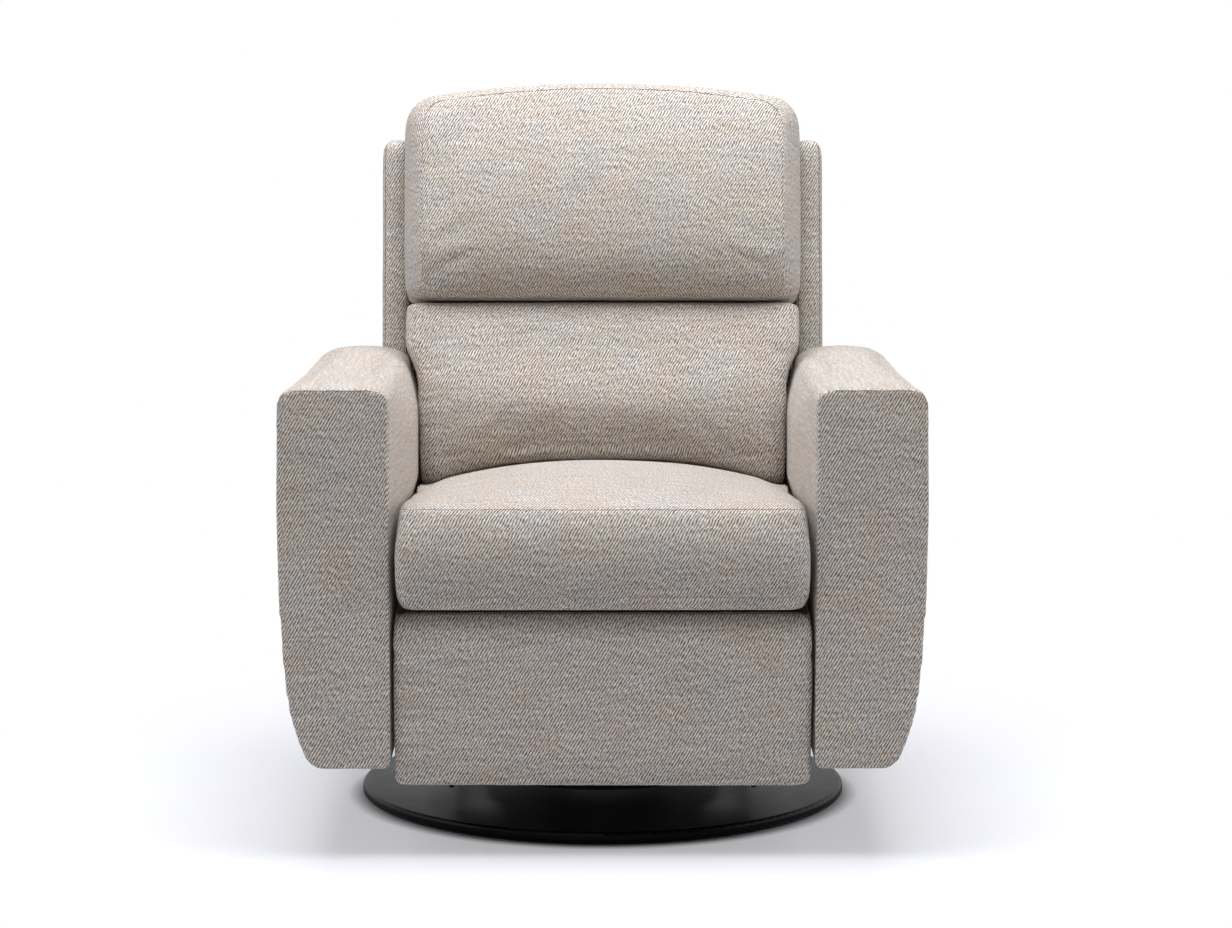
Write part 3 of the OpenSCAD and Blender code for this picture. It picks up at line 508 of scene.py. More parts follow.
    def inflate(self, obj: Object, rest: Rows, cap: Rows, sewn: Rows) -> None:
        """Stuffs the cover with cloth pressure, held at its seams, and caps how far it swells."""
        group = obj.vertex_groups.new(name="held")
        group.add([int(i) for i in np.nonzero(sewn | (cap <= 0))[0]], 1.0, "REPLACE")
        cloth = obj.modifiers.new("Cloth", "CLOTH")
        cloth.settings.quality = 4
        cloth.settings.mass = 0.3
        cloth.settings.use_pressure = True
        cloth.settings.uniform_pressure_force = 4.0
        cloth.settings.effector_weights.gravity = 0.0
        cloth.settings.vertex_group_mass = group.name
        cloth.point_cache.frame_start = 1
        cloth.point_cache.frame_end = FRAMES
        for step in range(1, FRAMES + 1):
            bpy.context.scene.frame_set(step)
        Bench.take(obj)
        bpy.ops.object.modifier_apply(modifier=cloth.name)
        bpy.context.scene.frame_set(1)
        moved = points_of(obj) - rest
        length = np.maximum(np.linalg.norm(moved, axis=1), 1e-9)
        LOG.info("%s: swelled %.1f mm of %.1f mm", obj.name, length.max() * 1000, cap.max() * 1000)
        set_points(obj, rest + moved * (np.minimum(length, cap) / length)[:, None])
        obj.vertex_groups.clear()

    def place(self, obj: Object) -> None:
        """Leans a piece of the back about its hinge and leaves its place in its mesh."""
        if self.leaning:
            obj.rotation_euler = (-BACK_RAKE, 0.0, 0.0)
            obj.location = BACK_HINGE
            Bench.settle(obj)

    def dress(self, obj: Object) -> Object:
        """Shades the piece, gives it its cloth and hangs it on its body."""
        obj.data.polygons.foreach_set("use_smooth", [True] * len(obj.data.polygons))
        obj.data.materials.clear()
        obj.data.materials.append(self.finish)
        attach(obj, self.body)
        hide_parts(*self.nodes)
        LOG.info("%s: %d faces", obj.name, len(obj.data.polygons))
        return obj

    def mirrored(self, obj: Object) -> Object:
        """Copies a finished right-hand piece to the left, with its own mesh.

        Args:
            obj: the finished piece.

        Returns:
            The copy, dressed, for the left-hand nodes.
        """
        names = [text.replace("right", "left") for text in (self.name, *self.nodes)]
        twin = replace(self, name=names[0], nodes=tuple(names[1:]))
        copy = obj.copy()
        copy.data = obj.data.copy()
        copy.name = twin.name
        copy.parent = None
        for key in list(copy.keys()):
            del copy[key]
        bpy.context.collection.objects.link(copy)
        copy.scale = (-1.0, 1.0, 1.0)
        Bench.settle(copy)
        Bench.pick(copy, Kind.FACE, lambda c, n: True)
        bpy.ops.mesh.normals_make_consistent(inside=False)
        Bench.leave()
        uv = np.empty(len(copy.data.loops) * 2)
        copy.data.uv_layers["cloth"].data.foreach_get("uv", uv)
        uv[0::2] *= -1
        copy.data.uv_layers["cloth"].data.foreach_set("uv", uv)
        return twin.dress(copy)


@dataclass
class SeatCushion(Cover):
    """The loose seat cushion: crowned top panel, boxing all round and a rolled underside."""

    low: Triple = (-0.2690, -0.436, 0.3325)
    high: Triple = (0.2690, 0.146, 0.4615)
    roll: float = 0.017
    turn: float = 0.020
    rear_corner: float = 0.040
    front_taper: float = 0.978
    lip_drop: float = 0.0035
    # Depths behind which the top narrows, each with its share of the width
    rear_tapers: Table = ((-0.23, 0.985), (-0.16, 0.982))
    crown_half: float = 0.246
    crown_power: float = 2.4
    across: tuple[float, ...] = (0.245, 0.22, 0.19, 0.15, 0.10, 0.05, 0.0)
    # Distance from the front to the rear, with the rise of the middle and the fall of the sides
    depths: tuple[Triple, ...] = (
        (-0.425, 0.003, -0.004), (-0.390, 0.004, 0.000), (-0.300, 0.011, 0.004),
        (-0.220, 0.016, 0.009), (-0.150, 0.017, 0.014), (-0.070, 0.013, 0.021),
        (0.000, 0.005, 0.028), (0.070, -0.005, 0.034), (0.146, -0.014, 0.038),
    )
    profile: Table = (
        (0.3325, 0.006), (0.3495, 0.000), (0.3650, -0.004), (0.3880, -0.007), (0.4120, -0.006),
        (0.4330, -0.001), (0.4490, 0.005), (0.4615, 0.011),
    )
    puff: float = 0.009
    face_lay: Lay = Lay.FLAT
    boxing_lay: Lay = Lay.ROUND_Z
    fill: float = 0.85

    def carve(self, obj: Object) -> None:
        """Gives the box a crowned top, a full front and rounded upright corners."""
        Bench.resize(obj, lambda c, n: c.z > 0.4 and c.y < 0, (self.front_taper, 1, 1))
        Bench.round_off(obj, lambda c, d: abs(d.z) > 0.9 and c.y < -0.40, self.turn, 5)
        Bench.round_off(obj, lambda c, d: abs(d.z) > 0.9 and c.y > 0.12, self.rear_corner, 5)
        Bench.cut(obj, Z, self.low[2] + self.roll)
        Bench.resize(obj, lambda c, n: c.z < self.low[2] + 0.001, (0.966, 0.972, 1), (0, -0.145, 0))
        Bench.contour(obj, lambda c, n: c.y < -0.414, self.profile)
        lip = lambda c, n: c.z < self.low[2] + 0.001 and c.y < -0.40
        Bench.move(obj, lip, (0, 0, -self.lip_drop))
        Bench.cut_pairs(obj, self.across)
        Bench.cut(obj, Y, *(y for y, _, _ in self.depths[1:-1]))
        rows = np.array(self.depths)
        top = self.high[2] - 0.001
        crown = [v.co for v in obj.data.vertices if v.co.z > top]
        for x, y in sorted({(round(abs(c.x), 4), round(c.y, 4)) for c in crown}):
            rise, fall = (float(np.interp(y, rows[:, 0], rows[:, i])) for i in (1, 2))
            share = min(1.0, x / self.crown_half) ** self.crown_power
            lift = rise * (1 - share) - fall * share
            here = lambda c, n: c.z > top and abs(abs(c.x) - x) < 2e-4 and abs(c.y - y) < 2e-4
            Bench.move(obj, here, (0, 0, lift))
        for y, taper in self.rear_tapers:
            Bench.resize(obj, lambda c, n: c.z > 0.40 and c.y > y, (taper, 1, 1))

    def panel(self, centre: Vector, normal: Vector) -> Panel:
        """Returns the top, the boxing or the underside."""
        if normal.z > 0.8 and centre.z > 0.42:
            return Panel.FACE
        return Panel.REVERSE if centre.z < self.low[2] + self.roll else Panel.BOXING

    def stitched(self, co: Rows) -> Rows:
        """Returns a clear top seam; the lower one only turns the cloth under."""
        return np.where(co[:, 2] > 0.40, 1.0, 0.0)

    def limit(self, co: Rows, face: Rows) -> Rows:
        """Lets the top crown freely and the front bulge, and holds the sides off the arms."""
        x, y, z = co.T
        cap = np.where(face & (z > 0.40), self.puff, 0.004)
        cap[(~face) & (y < -0.42)] = 0.006
        cap[(np.abs(x) > 0.262) & (y > -0.425)] = 0.0015
        cap[y > 0.13] = 0.004
        return cap

    def held(self, co: Rows) -> Rows:
        """Returns the underside, which lies on the deck."""
        return co[:, 2] < self.low[2] + 0.0015


@dataclass
class UpperPillow(Cover):
    """The upper back pillow: a front panel with rounded corners, boxed, lapping over the frame."""

    low: Triple = (-0.2850, -0.190, 0.3375)
    high: Triple = (0.2850, -0.0158, 0.6370)
    turn: float = 0.046
    arch: float = 0.017
    lap_foot: float = 0.5950
    lap_depth: float = 0.0905
    lap_drop: float = 0.010
    lap_spread: float = 1.016
    rear_spread: float = 1.024
    top_corner: float = 0.043
    foot_corner: float = 0.022
    # Depths of the rounded rim, with their share of the width and of the height
    rim: tuple[Triple, ...] = ((-0.115, 0.992, 0.997), (-0.145, 0.966, 0.987))
    face_width: float = 0.910
    face_height: float = 0.9666
    profile: Table = (
        (0.3375, 0.034), (0.350, 0.015), (0.370, 0.002), (0.400, -0.009), (0.445, -0.010),
        (0.500, -0.005), (0.550, 0.003), (0.595, 0.012), (0.625, 0.020), (0.6540, 0.029),
    )
    puff: float = 0.014
    leaning: bool = True
    fill: float = 0.75

    def carve(self, obj: Object) -> None:
        """Shapes the boxed pillow, fullest below its middle, with the lap pulled to the rear."""
        foot = self.low[2]
        Bench.round_off(obj, lambda c, d: abs(d.y) > 0.9 and c.z > 0.60, self.top_corner, 7)
        Bench.round_off(obj, lambda c, d: abs(d.y) > 0.9 and c.z < 0.35, self.foot_corner, 4)
        Bench.cut(obj, Z, self.lap_foot)
        Bench.pull(obj, lambda c, n: n.y > 0.9 and c.z > self.lap_foot, (0, self.lap_depth, 0))
        Bench.cut(obj, Y, *(y for y, _, _ in self.rim))
        Bench.move(obj, lambda c, n: c.y > 0.06 and c.z > 0.60, (0, 0, -self.lap_drop))
        # The lap spreads to the rear, over the inner edges of the wings
        lapped = lambda c, n: c.y > -0.02 and c.z > self.lap_foot - 0.001
        Bench.resize(obj, lapped, (self.lap_spread, 1, 1), (0, 0, foot))
        Bench.resize(obj, lambda c, n: c.y > 0.06, (self.rear_spread, 1, 1), (0, 0, foot))
        stations = (0.22, 0.19, 0.15, 0.10, 0.05, 0.0)
        Bench.cut_pairs(obj, stations)
        for x in stations:
            rise = self.arch * (1 - (x / 0.239) ** 2.16)
            Bench.move(obj, lambda c, n: abs(abs(c.x) - x) < 0.001 and c.z > 0.61, (0, 0, rise))
        Bench.contour(obj, lambda c, n: c.y < -0.165, self.profile)
        upper = lambda c, n: c.y < -0.152 and c.z > 0.58
        Bench.resize(obj, upper, (1, 1, self.face_height), (0, 0, foot))
        Bench.resize(obj, lambda c, n: c.y < -0.152, (self.face_width, 1, 1), (0, 0, foot))
        for y, width, height in self.rim:
            Bench.resize(obj, lambda c, n: abs(c.y - y) < 0.001, (width, 1, height), (0, 0, foot))

    def panel(self, centre: Vector, normal: Vector) -> Panel:
        """Returns the front panel with its lower roll, or the boxing."""
        front = centre.y < -0.154 and normal.y < -0.8
        return Panel.FACE if front or (centre.z < 0.360 and normal.y < -0.3) else Panel.BOXING

    def stitched(self, co: Rows) -> Rows:
        """Returns the top seam's stitches; the sides are sewn blind."""
        return np.clip((co[:, 2] - 0.585) / 0.02, 0, 1)

    def limit(self, co: Rows, face: Rows) -> Rows:
        """Lets the face puff most and holds the rear off the frame and wings."""
        _, y, z = co.T
        cap = np.where(face, self.puff, 0.005)
        cap[y > -0.035] = 0.0
        cap[(z > 0.60) & (y > -0.03)] = 0.005
        cap[z < 0.345] = 0.001
        return cap


@dataclass
class LumbarCushion(Cover):
    """The lower back cushion, which narrows down between the arms."""

    low: Triple = (-0.2825, -0.184, 0.106)
    high: Triple = (0.2825, -0.0158, 0.3345)
    turn: float = 0.022
    profile: Table = (
        (0.106, 0.020), (0.120, 0.003), (0.145, -0.008), (0.180, -0.013), (0.210, -0.008),
        (0.240, 0.001), (0.270, 0.010), (0.298, 0.018), (0.318, 0.025), (0.3345, 0.034),
    )
    # Falling heights with the half-width that each has between the arms
    waist: Table = (
        (0.272, 0.2825), (0.254, 0.2745), (0.235, 0.2670), (0.215, 0.2630), (0.106, 0.2600),
    )
    # Distances from the middle, with how far the foot droops there
    droops: Table = ((0.225, 0.030), (0.19, 0.020), (0.14, 0.009), (0.08, 0.002))
    corner_droop: float = 0.036
    rear_rise: float = 0.032
    face_lay: Lay = Lay.ROUND_Z
    leaning: bool = True
    fill: float = 0.8

    def carve(self, obj: Object) -> None:
        """Shapes the cushion's tapered form, full at its middle and rolled at every front edge."""
        Bench.round_off(obj, lambda c, d: abs(d.z) > 0.9 and c.y < 0, self.turn, 5)
        Bench.cut(obj, Z, 0.294, *(z for z, _ in self.waist[:-1]))
        for z, half_w in self.waist:
            Bench.resize(obj, lambda c, n: abs(c.z - z) < 0.001, (half_w / self.high[0], 1, 1))
        rear_foot = lambda c, n: c.z < self.low[2] + 0.001 and c.y > -0.05
        Bench.move(obj, rear_foot, (0, 0, self.rear_rise))
        Bench.contour(obj, lambda c, n: c.y < -0.146, self.profile)
        # The foot droops at its sides, where the seat falls away under it
        Bench.cut_pairs(obj, [x for x, _ in self.droops])
        for x, droop in self.droops:
            here = lambda c, n: abs(abs(c.x) - x) < 1e-3 and c.z < 0.151
            Bench.move(obj, lambda c, n: here(c, n) and c.z < 0.125, (0, 0, -droop))
            Bench.move(obj, lambda c, n: here(c, n) and c.z > 0.125, (0, 0, -droop * 0.6))
        Bench.move(obj, lambda c, n: abs(c.x) > 0.228 and c.z < 0.151, (0, 0, -self.corner_droop))

    def panel(self, centre: Vector, normal: Vector) -> Panel:
        """Returns the wrapped front panel, or the boxing behind it."""
        return Panel.FACE if centre.y < -0.12 else Panel.BOXING

    def stitched(self, co: Rows) -> Rows:
        """Returns no stitches: the seams lie out of sight behind the sides."""
        return np.zeros(len(co))

    def limit(self, co: Rows, face: Rows) -> Rows:
        """Lets the face puff and holds the sides off the arms."""
        x, y, z = co.T
        cap = np.where(face, self.puff, 0.002)
        cap[(np.abs(x) > 0.248) & (z < 0.262)] = 0.001
        cap[y > -0.03] = 0.0
        cap[(z > 0.329) | (z < 0.116)] = 0.001
        return cap


@dataclass
class ArmPiece(Cover):
    """What the two pieces of an arm share: the outline of its front.

    The rounds are those of the two top edges, of the outer heel and of the inner heel.
    """

    heel: float = 0.3740
    shoulder: float = 0.4170
    inset: float = 0.0
    rounds: tuple[tuple[float, int], ...] = ((0.019, 5), (0.022, 4), (0.012, 3))
    fill: float = 0.6

    def carve(self, obj: Object) -> None:
        """Shapes the arm's prism: a bellied flank and rounded long edges."""
        Bench.cut(obj, Z, *(z for z, _ in FLANK))
        edge = self.high[0] - 0.002
        for z, x in ((self.low[2], self.heel), *FLANK, (self.high[2], self.shoulder)):
            shift = x - self.high[0] - self.inset
            Bench.move(obj, lambda c, n: abs(c.z - z) < 1e-4 and c.x > edge, (shift, 0, 0))
        top, foot = self.high[2] - 0.001, self.low[2] + 0.001
        edges = (
            lambda c: c.z > top,
            lambda c: c.z < foot and c.x > 0.3,
            lambda c: c.z < foot and c.x < 0.3,
        )
        for here, (radius, segments) in zip(edges, self.rounds):
            Bench.round_off(obj, lambda c, d: abs(d.y) > 0.9 and here(c), radius, segments)


@dataclass
class ArmBody(ArmPiece):
    """The wrapped body of an arm: one cloth over the outer side, the top and the inner side."""

    low: Triple = (0.2735, -0.4175, 0.122)
    high: Triple = (0.4200, 0.205, 0.6165)
    crown: float = 0.010
    rear_edge: float = 0.034
    reach: float = 0.050

    def carve(self, obj: Object) -> None:
        """Shapes the arm's prism and rounds its rear edges."""
        super().carve(obj)
        rear = self.high[1] - 0.001
        Bench.cut(obj, Y, -0.30, -0.15, 0.02)
        Bench.round_off(obj, lambda c, d: c.y > rear, self.rear_edge, 5)

    def panel(self, centre: Vector, normal: Vector) -> Panel:
        """Returns the flat ends as face panels and the wrap as boxing."""
        return Panel.FACE if abs(normal.y) > 0.98 else Panel.BOXING

    def worn(self, co: Rows) -> Rows:
        """Returns the top edges, rounder towards the rear."""
        return np.clip((co[:, 1] + 0.40) / 0.30, 0, 1) * np.clip((co[:, 2] - 0.50) / 0.06, 0, 1)

    def limit(self, co: Rows, face: Rows) -> Rows:
        """Lets the wrap puff behind the front seam and keeps the lower inner side off the seat."""
        x, y, z = co.T
        back = np.clip((y + 0.4175) / 0.25, 0, 1)
        flank = self.puff * back + 0.002
        rear = np.clip((y + 0.38) / 0.25, 0, 1)
        inner = 0.0008 + 0.018 * np.clip((z - 0.405) / 0.04, 0, 1) * rear
        top = self.crown * (0.3 + 0.7 * back) * np.clip(1 - ((x - 0.345) / 0.074) ** 2, 0, 1)
        rise = np.clip((z - 0.53) / 0.075, 0, 1)
        rise = rise * rise * (3 - 2 * rise)
        cap = np.where(x < 0.31, inner, flank) * (1 - rise) + top * rise
        cap[y > 0.195] = 0.004
        cap[y < -0.415] = 0.0
        return cap


@dataclass
class ArmFront(ArmPiece):
    """The padded panel sewn into the front of an arm."""

    low: Triple = (0.2740, -0.4280, 0.1215)
    high: Triple = (0.4195, -0.4180, 0.6160)
    heel: float = 0.3765
    inset: float = 0.0008
    rounds: tuple[tuple[float, int], ...] = ((0.019, 6), (0.018, 5), (0.010, 4))
    soften: int = 5
    voxel: float = 0.004
    puff: float = 0.006
    reach: float = 0.045
    seam_depth: float = 0.0006

    def panel(self, centre: Vector, normal: Vector) -> Panel:
        """Returns the front, or its turned-in edge."""
        return Panel.FACE if normal.y < -0.9 else Panel.BOXING

    def stitched(self, co: Rows) -> Rows:
        """Returns the seam over the top, which is lost down the sides."""
        return np.clip((co[:, 2] - 0.56) / 0.045, 0, 1)

    def limit(self, co: Rows, face: Rows) -> Rows:
        """Lets the front crown softly towards its middle and keeps the rear flat."""
        x, y, z = co.T
        across = 1 - np.abs(x - 0.345) / 0.078
        up = np.minimum(z - 0.12, 0.617 - z) / 0.05
        cap = self.puff * np.clip(across * 2.2, 0, 1) * np.clip(up, 0, 1)
        cap[y > -0.4225] = 0.0
        return cap


@dataclass
class Wing(Cover):
    """An outer wing at the side of the back."""

    simulated: bool = False
    low: Triple = (0.2842, -0.034, 0.008)
    high: Triple = (0.3225, 0.0945, 0.5895)
    soften: int = 3
    voxel: float = 0.005
    puff: float = 0.004
    leaning: bool = True
    foot_step: float = 0.042
    top_corner: float = 0.024
    foot_corner: float = 0.008
    outer_edge: float = 0.009
    inner_edge: float = 0.005
    face_lay: Lay = Lay.SIDE
    boxing_lay: Lay = Lay.FRONT
    fill: float = 0.5

    def carve(self, obj: Object) -> None:
        """Shapes the wing with its foot narrowed behind the arm and its top corners rounded."""
        Bench.cut(obj, Z, 0.220)
        Bench.move(obj, lambda c, n: c.z < 0.1 and c.y < 0, (0, self.foot_step, 0))
        Bench.round_off(obj, lambda c, d: abs(d.x) > 0.9 and c.z > 0.5, self.top_corner, 5)
        Bench.round_off(obj, lambda c, d: abs(d.x) > 0.9 and c.z < 0.1, self.foot_corner, 3)
        for x, radius in ((self.high[0], self.outer_edge), (self.low[0], self.inner_edge)):
            Bench.round_off(obj, lambda c, d: abs(c.x - x) < 1e-4, radius, 3)

    def panel(self, centre: Vector, normal: Vector) -> Panel:
        """Returns the two sides as face panels and the edge as boxing."""
        return Panel.FACE if abs(normal.x) > 0.9 else Panel.BOXING

    def limit(self, co: Rows, face: Rows) -> Rows:
        """Lets the outer side and the front edge puff."""
        return np.where(co[:, 0] < 0.295, 0.0005, self.puff)


@dataclass
class OutsideBack(Cover):
    """The flat panel that closes the rear of the back."""

    simulated: bool = False
    soften: int = 2
    low: Triple = (-0.2855, 0.0772, 0.008)
    high: Triple = (0.2855, 0.0920, 0.6315)
    puff: float = 0.006
    reach: float = 0.06
    corner: float = 0.042
    edge: float = 0.005
    leaning: bool = True
    fill: float = 0.4

    def carve(self, obj: Object) -> None:
        """Shapes the panel with its upper corners rounded and its rear edges eased."""
        Bench.round_off(obj, lambda c, d: abs(d.y) > 0.9 and c.z > 0.6, self.corner, 6)
        rear = self.high[1] - 1e-4
        Bench.round_off(obj, lambda c, d: c.y > rear and abs(d.y) < 0.1, self.edge, 3)

    def panel(self, centre: Vector, normal: Vector) -> Panel:
        """Returns the rear face, or the edge that is turned under."""
        return Panel.FACE if normal.y > 0.9 else Panel.BOXING

    def limit(self, co: Rows, face: Rows) -> Rows:
        """Lets only the rear face puff."""
        return np.where(co[:, 1] > 0.088, self.puff, 0.0)


@dataclass
class FootrestPad(Cover):
    """The padded panel of the footrest."""

    soften: int = 4
    low: Triple = (-0.2705, -0.4225, 0.0965)
    high: Triple = (0.2705, -0.3975, 0.3250)
    profile: Table = (
        (0.0965, 0.009), (0.1035, 0.003), (0.1150, 0.000), (0.2700, 0.000), (0.2950, 0.003),
        (0.3120, 0.008), (0.3250, 0.017),
    )
    voxel: float = 0.005
    puff: float = 0.005
    reach: float = 0.05
    corner: float = 0.011
    edge: float = 0.006
    seam_depth: float = 0.0015
    swell: float = 0.0009
    fill: float = 0.6

    def carve(self, obj: Object) -> None:
        """Shapes the panel with small round corners, drawn back under the seat."""
        Bench.round_off(obj, lambda c, d: abs(d.y) > 0.9, self.corner, 4)
        Bench.contour(obj, lambda c, n: c.y < -0.42, self.profile)
        side = lambda c: c.y < -0.42 and abs(c.x) > 0.262
        upright = lambda d: abs(d.y) < 0.1 and abs(d.z) > 0.9
        Bench.round_off(obj, lambda c, d: side(c) and upright(d), self.edge, 3)

    def panel(self, centre: Vector, normal: Vector) -> Panel:
        """Returns the wrapped front, or the rear that is tacked to the board."""
        return Panel.FACE if centre.y < -0.408 else Panel.BOXING

    def limit(self, co: Rows, face: Rows) -> Rows:
        """Lets the front crown and keeps the rear flat on its board."""
        return np.where(co[:, 1] < -0.415, self.puff, 0.0)


@dataclass
class RearSkirt(Cover):
    """The cloth-covered board under the back, between the arms."""

    simulated: bool = False
    soften: int = 1
    low: Triple = (-0.2695, 0.2255, 0.1305)
    high: Triple = (0.2695, 0.2400, 0.3045)
    voxel: float = 0.005
    puff: float = 0.001
    edge: float = 0.004
    fill: float = 0.2

    def carve(self, obj: Object) -> None:
        """Shapes the board with eased edges."""
        Bench.round_off(obj, lambda c, d: True, self.edge, 3)

    def limit(self, co: Rows, face: Rows) -> Rows:
        """Keeps the front flat on the rails."""
        return np.where(co[:, 1] > 0.23, self.puff, 0.0)


def linear(code: str) -> tuple[float, float, float, float]:
    """Turns an sRGB hex colour into a linear one with alpha 1."""
    values = [int(code[i : i + 2], 16) / 255 for i in (0, 2, 4)]
    r, g, b = (v / 12.92 if v <= 0.04045 else ((v + 0.055) / 1.055) ** 2.4 for v in values)
    return r, g, b, 1.0


def put(
    tree: Tree, kind: str, inputs: Union[Inputs, None] = None, stops: Stops = (), **settings: object
) -> bpy.types.Node:
    """Adds one node.

    Args:
        tree: the node tree.
        kind: the node's type, without the ShaderNode that all of them start with.
        inputs: values for its sockets; a socket is linked, and so is a node's first output.
        stops: places and sRGB hex colours of a colour ramp.
        **settings: the node's own properties.

    Returns:
        The node.
    """
    node = tree.nodes.new("ShaderNode" + kind)
    for key, value in settings.items():
        setattr(node, key, value)
    for key, value in (inputs or {}).items():
        if isinstance(value, bpy.types.Node):
            value = value.outputs[0]
        if isinstance(value, bpy.types.NodeSocket):
            tree.links.new(value, node.inputs[key])
        else:
            node.inputs[key].default_value = value
    if stops:
        band = node.color_ramp.elements
        while len(band) < len(stops):
            band.new(0.5)
        for element, (place, code) in zip(band, stops):
            element.position = place
            element.color = linear(code)
    return node


def empty_tree(owner: Union[bpy.types.Material, bpy.types.World]) -> Tree:
    """Returns the node tree of a material or world with nothing in it."""
    owner.use_nodes = True
    owner.node_tree.nodes.clear()
    return owner.node_tree


@dataclass(frozen=True)
class Finish:
    """What every finish has: a name and one principled shader."""

    name: str

    def inputs(self, tree: Tree) -> Inputs:
        """Returns the shader's inputs, with the nodes that feed them."""
        return {}

    def build(self) -> bpy.types.Material:
        """Returns the finished material."""
        material = bpy.data.materials.new(self.name)
        tree = empty_tree(material)
        shader = put(tree, "BsdfPrincipled", self.inputs(tree))
        put(tree, "OutputMaterial", {"Surface": shader})
        return material


@dataclass(frozen=True)
class TwillCloth(Finish):
    """Upholstery twill of ivory and grey-brown polyester yarns, yarn-dyed and woven.

    The eye sees fine slanting ribs, short broken floats along them, soft slubs across the cloth,
    faint warm and cool clouds where dye lots mix, a dull face and a soft bloom at grazing angles.
    """

    rib: float = 0.0035
    light: str = "fbf8f5"
    middle: str = "c8c2bc"
    dark: str = "6e6459"

    def inputs(self, tree: Tree) -> Inputs:
        """Returns the cloth's inputs, laid by the cloth map in metres."""
        uv = put(tree, "UVMap", uv_map="cloth")
        turned = put(tree, "Mapping", {"Vector": uv, "Rotation": (0, 0, math.radians(30))})
        # One band is one rib of 3.5 mm, so the ribs stand 4 mm apart along a row
        bands = {"Vector": turned, "Scale": WAVE / self.rib, "Distortion": 1.6, "Detail": 2.0}
        bands["Detail Scale"] = 1.1
        ribs = put(tree, "TexWave", bands, wave_type="BANDS", bands_direction="X").outputs["Fac"]
        # Floats of about 5 mm along a rib and 2 mm across it break the ribs into short dashes
        drawn = put(tree, "Mapping", {"Vector": turned, "Scale": (1.0, 0.38, 1.0)})
        floats = put(tree, "TexNoise", {"Vector": drawn, "Scale": 520.0, "Detail": 2.0})
        yarn = put(tree, "Math", {0: floats, 1: 1.9, 2: -0.86}, operation="MULTIPLY_ADD")
        woven = {0: ribs, 1: 0.82, 2: yarn}
        weave = put(tree, "Math", woven, operation="MULTIPLY_ADD", use_clamp=True)
        # Slubs of about 70 mm along a row and 5 mm across it, and clouds of about 60 mm
        streaked = put(tree, "Mapping", {"Vector": uv, "Scale": (14.0, 190.0, 1.0)})
        slub = put(tree, "TexNoise", {"Vector": streaked, "Scale": 1.0, "Detail": 3.0})
        cloud = put(tree, "TexNoise", {"Vector": uv, "Scale": 16.0, "Detail": 3.0})
        # The line of a seam lies within 1.7 mm of it
        seam = put(tree, "Attribute", attribute_name="seam").outputs["Fac"]
        off = put(tree, "Math", {0: seam}, operation="ABSOLUTE")
        stitch = put(tree, "MapRange", {"Value": off, "From Min": 0.0003, "From Max": 0.0017})
        yarns = ((0.02, self.dark), (0.5, self.middle), (0.95, self.light))
        colour = put(tree, "ValToRGB", {"Fac": weave}, yarns).outputs["Color"]
        for factor, stops in (
            (cloud, ((0.30, "f4f6f8"), (0.5, "fbf8f4"), (0.70, "fbf3ea"))),
            (slub, ((0.3, "e4e2e0"), (0.7, "ffffff"))),
            (stitch, ((0.0, "7d7267"), (1.0, "ffffff"))),
        ):
            layer = put(tree, "ValToRGB", {"Fac": factor}, stops)
            mix = {"Factor": 1.0, 6: colour, 7: layer}
            colour = put(tree, "Mix", mix, data_type="RGBA", blend_type="MULTIPLY").outputs[2]
        relief = put(tree, "Math", {0: slub, 1: 0.35, 2: weave}, operation="MULTIPLY_ADD")
        return {
            "Base Color": colour,
            "Normal": put(tree, "Bump", {"Height": relief, "Strength": 0.7, "Distance": 0.0009}),
            "Roughness": 0.88,
            "Specular IOR Level": 0.25,
            "Sheen Weight": 0.18,
            "Sheen Roughness": 0.45,
            "Sheen Tint": linear("efe6dc"),
        }


@dataclass(frozen=True)
class Surface(Finish):
    """A hard finish with a mottled colour and a fine relief, read from Object coordinates."""

    low: str
    high: str
    grain: float
    stretch: Triple = (1.0, 1.0, 1.0)
    relief: float = 0.00005
    roughness: tuple[float, float] = (0.34, 0.42)
    metallic: float = 0.0
    specular: float = 0.5

    def inputs(self, tree: Tree) -> Inputs:
        """Returns the shader's inputs: two sizes of noise for colour, gloss and relief."""
        co = put(tree, "TexCoord").outputs["Object"]
        drawn = put(tree, "Mapping", {"Vector": co, "Scale": self.stretch})
        fine = put(tree, "TexNoise", {"Vector": drawn, "Scale": self.grain, "Detail": 3.0})
        coarse = self.grain / 24
        wide = put(tree, "TexNoise", {"Vector": drawn, "Scale": coarse, "Detail": 2.0})
        mixed = put(tree, "Math", {0: fine, 1: wide}, operation="ADD")
        level = put(tree, "Math", {0: mixed, 1: 0.5}, operation="MULTIPLY")
        dull, duller = self.roughness
        stops = ((0.35, self.low), (0.65, self.high))
        return {
            "Base Color": put(tree, "ValToRGB", {"Fac": level}, stops),
            "Normal": put(tree, "Bump", {"Height": fine, "Strength": 0.4, "Distance": self.relief}),
            "Roughness": put(tree, "MapRange", {"Value": wide, "To Min": dull, "To Max": duller}),
            "Metallic": self.metallic,
            "Specular IOR Level": self.specular,
        }


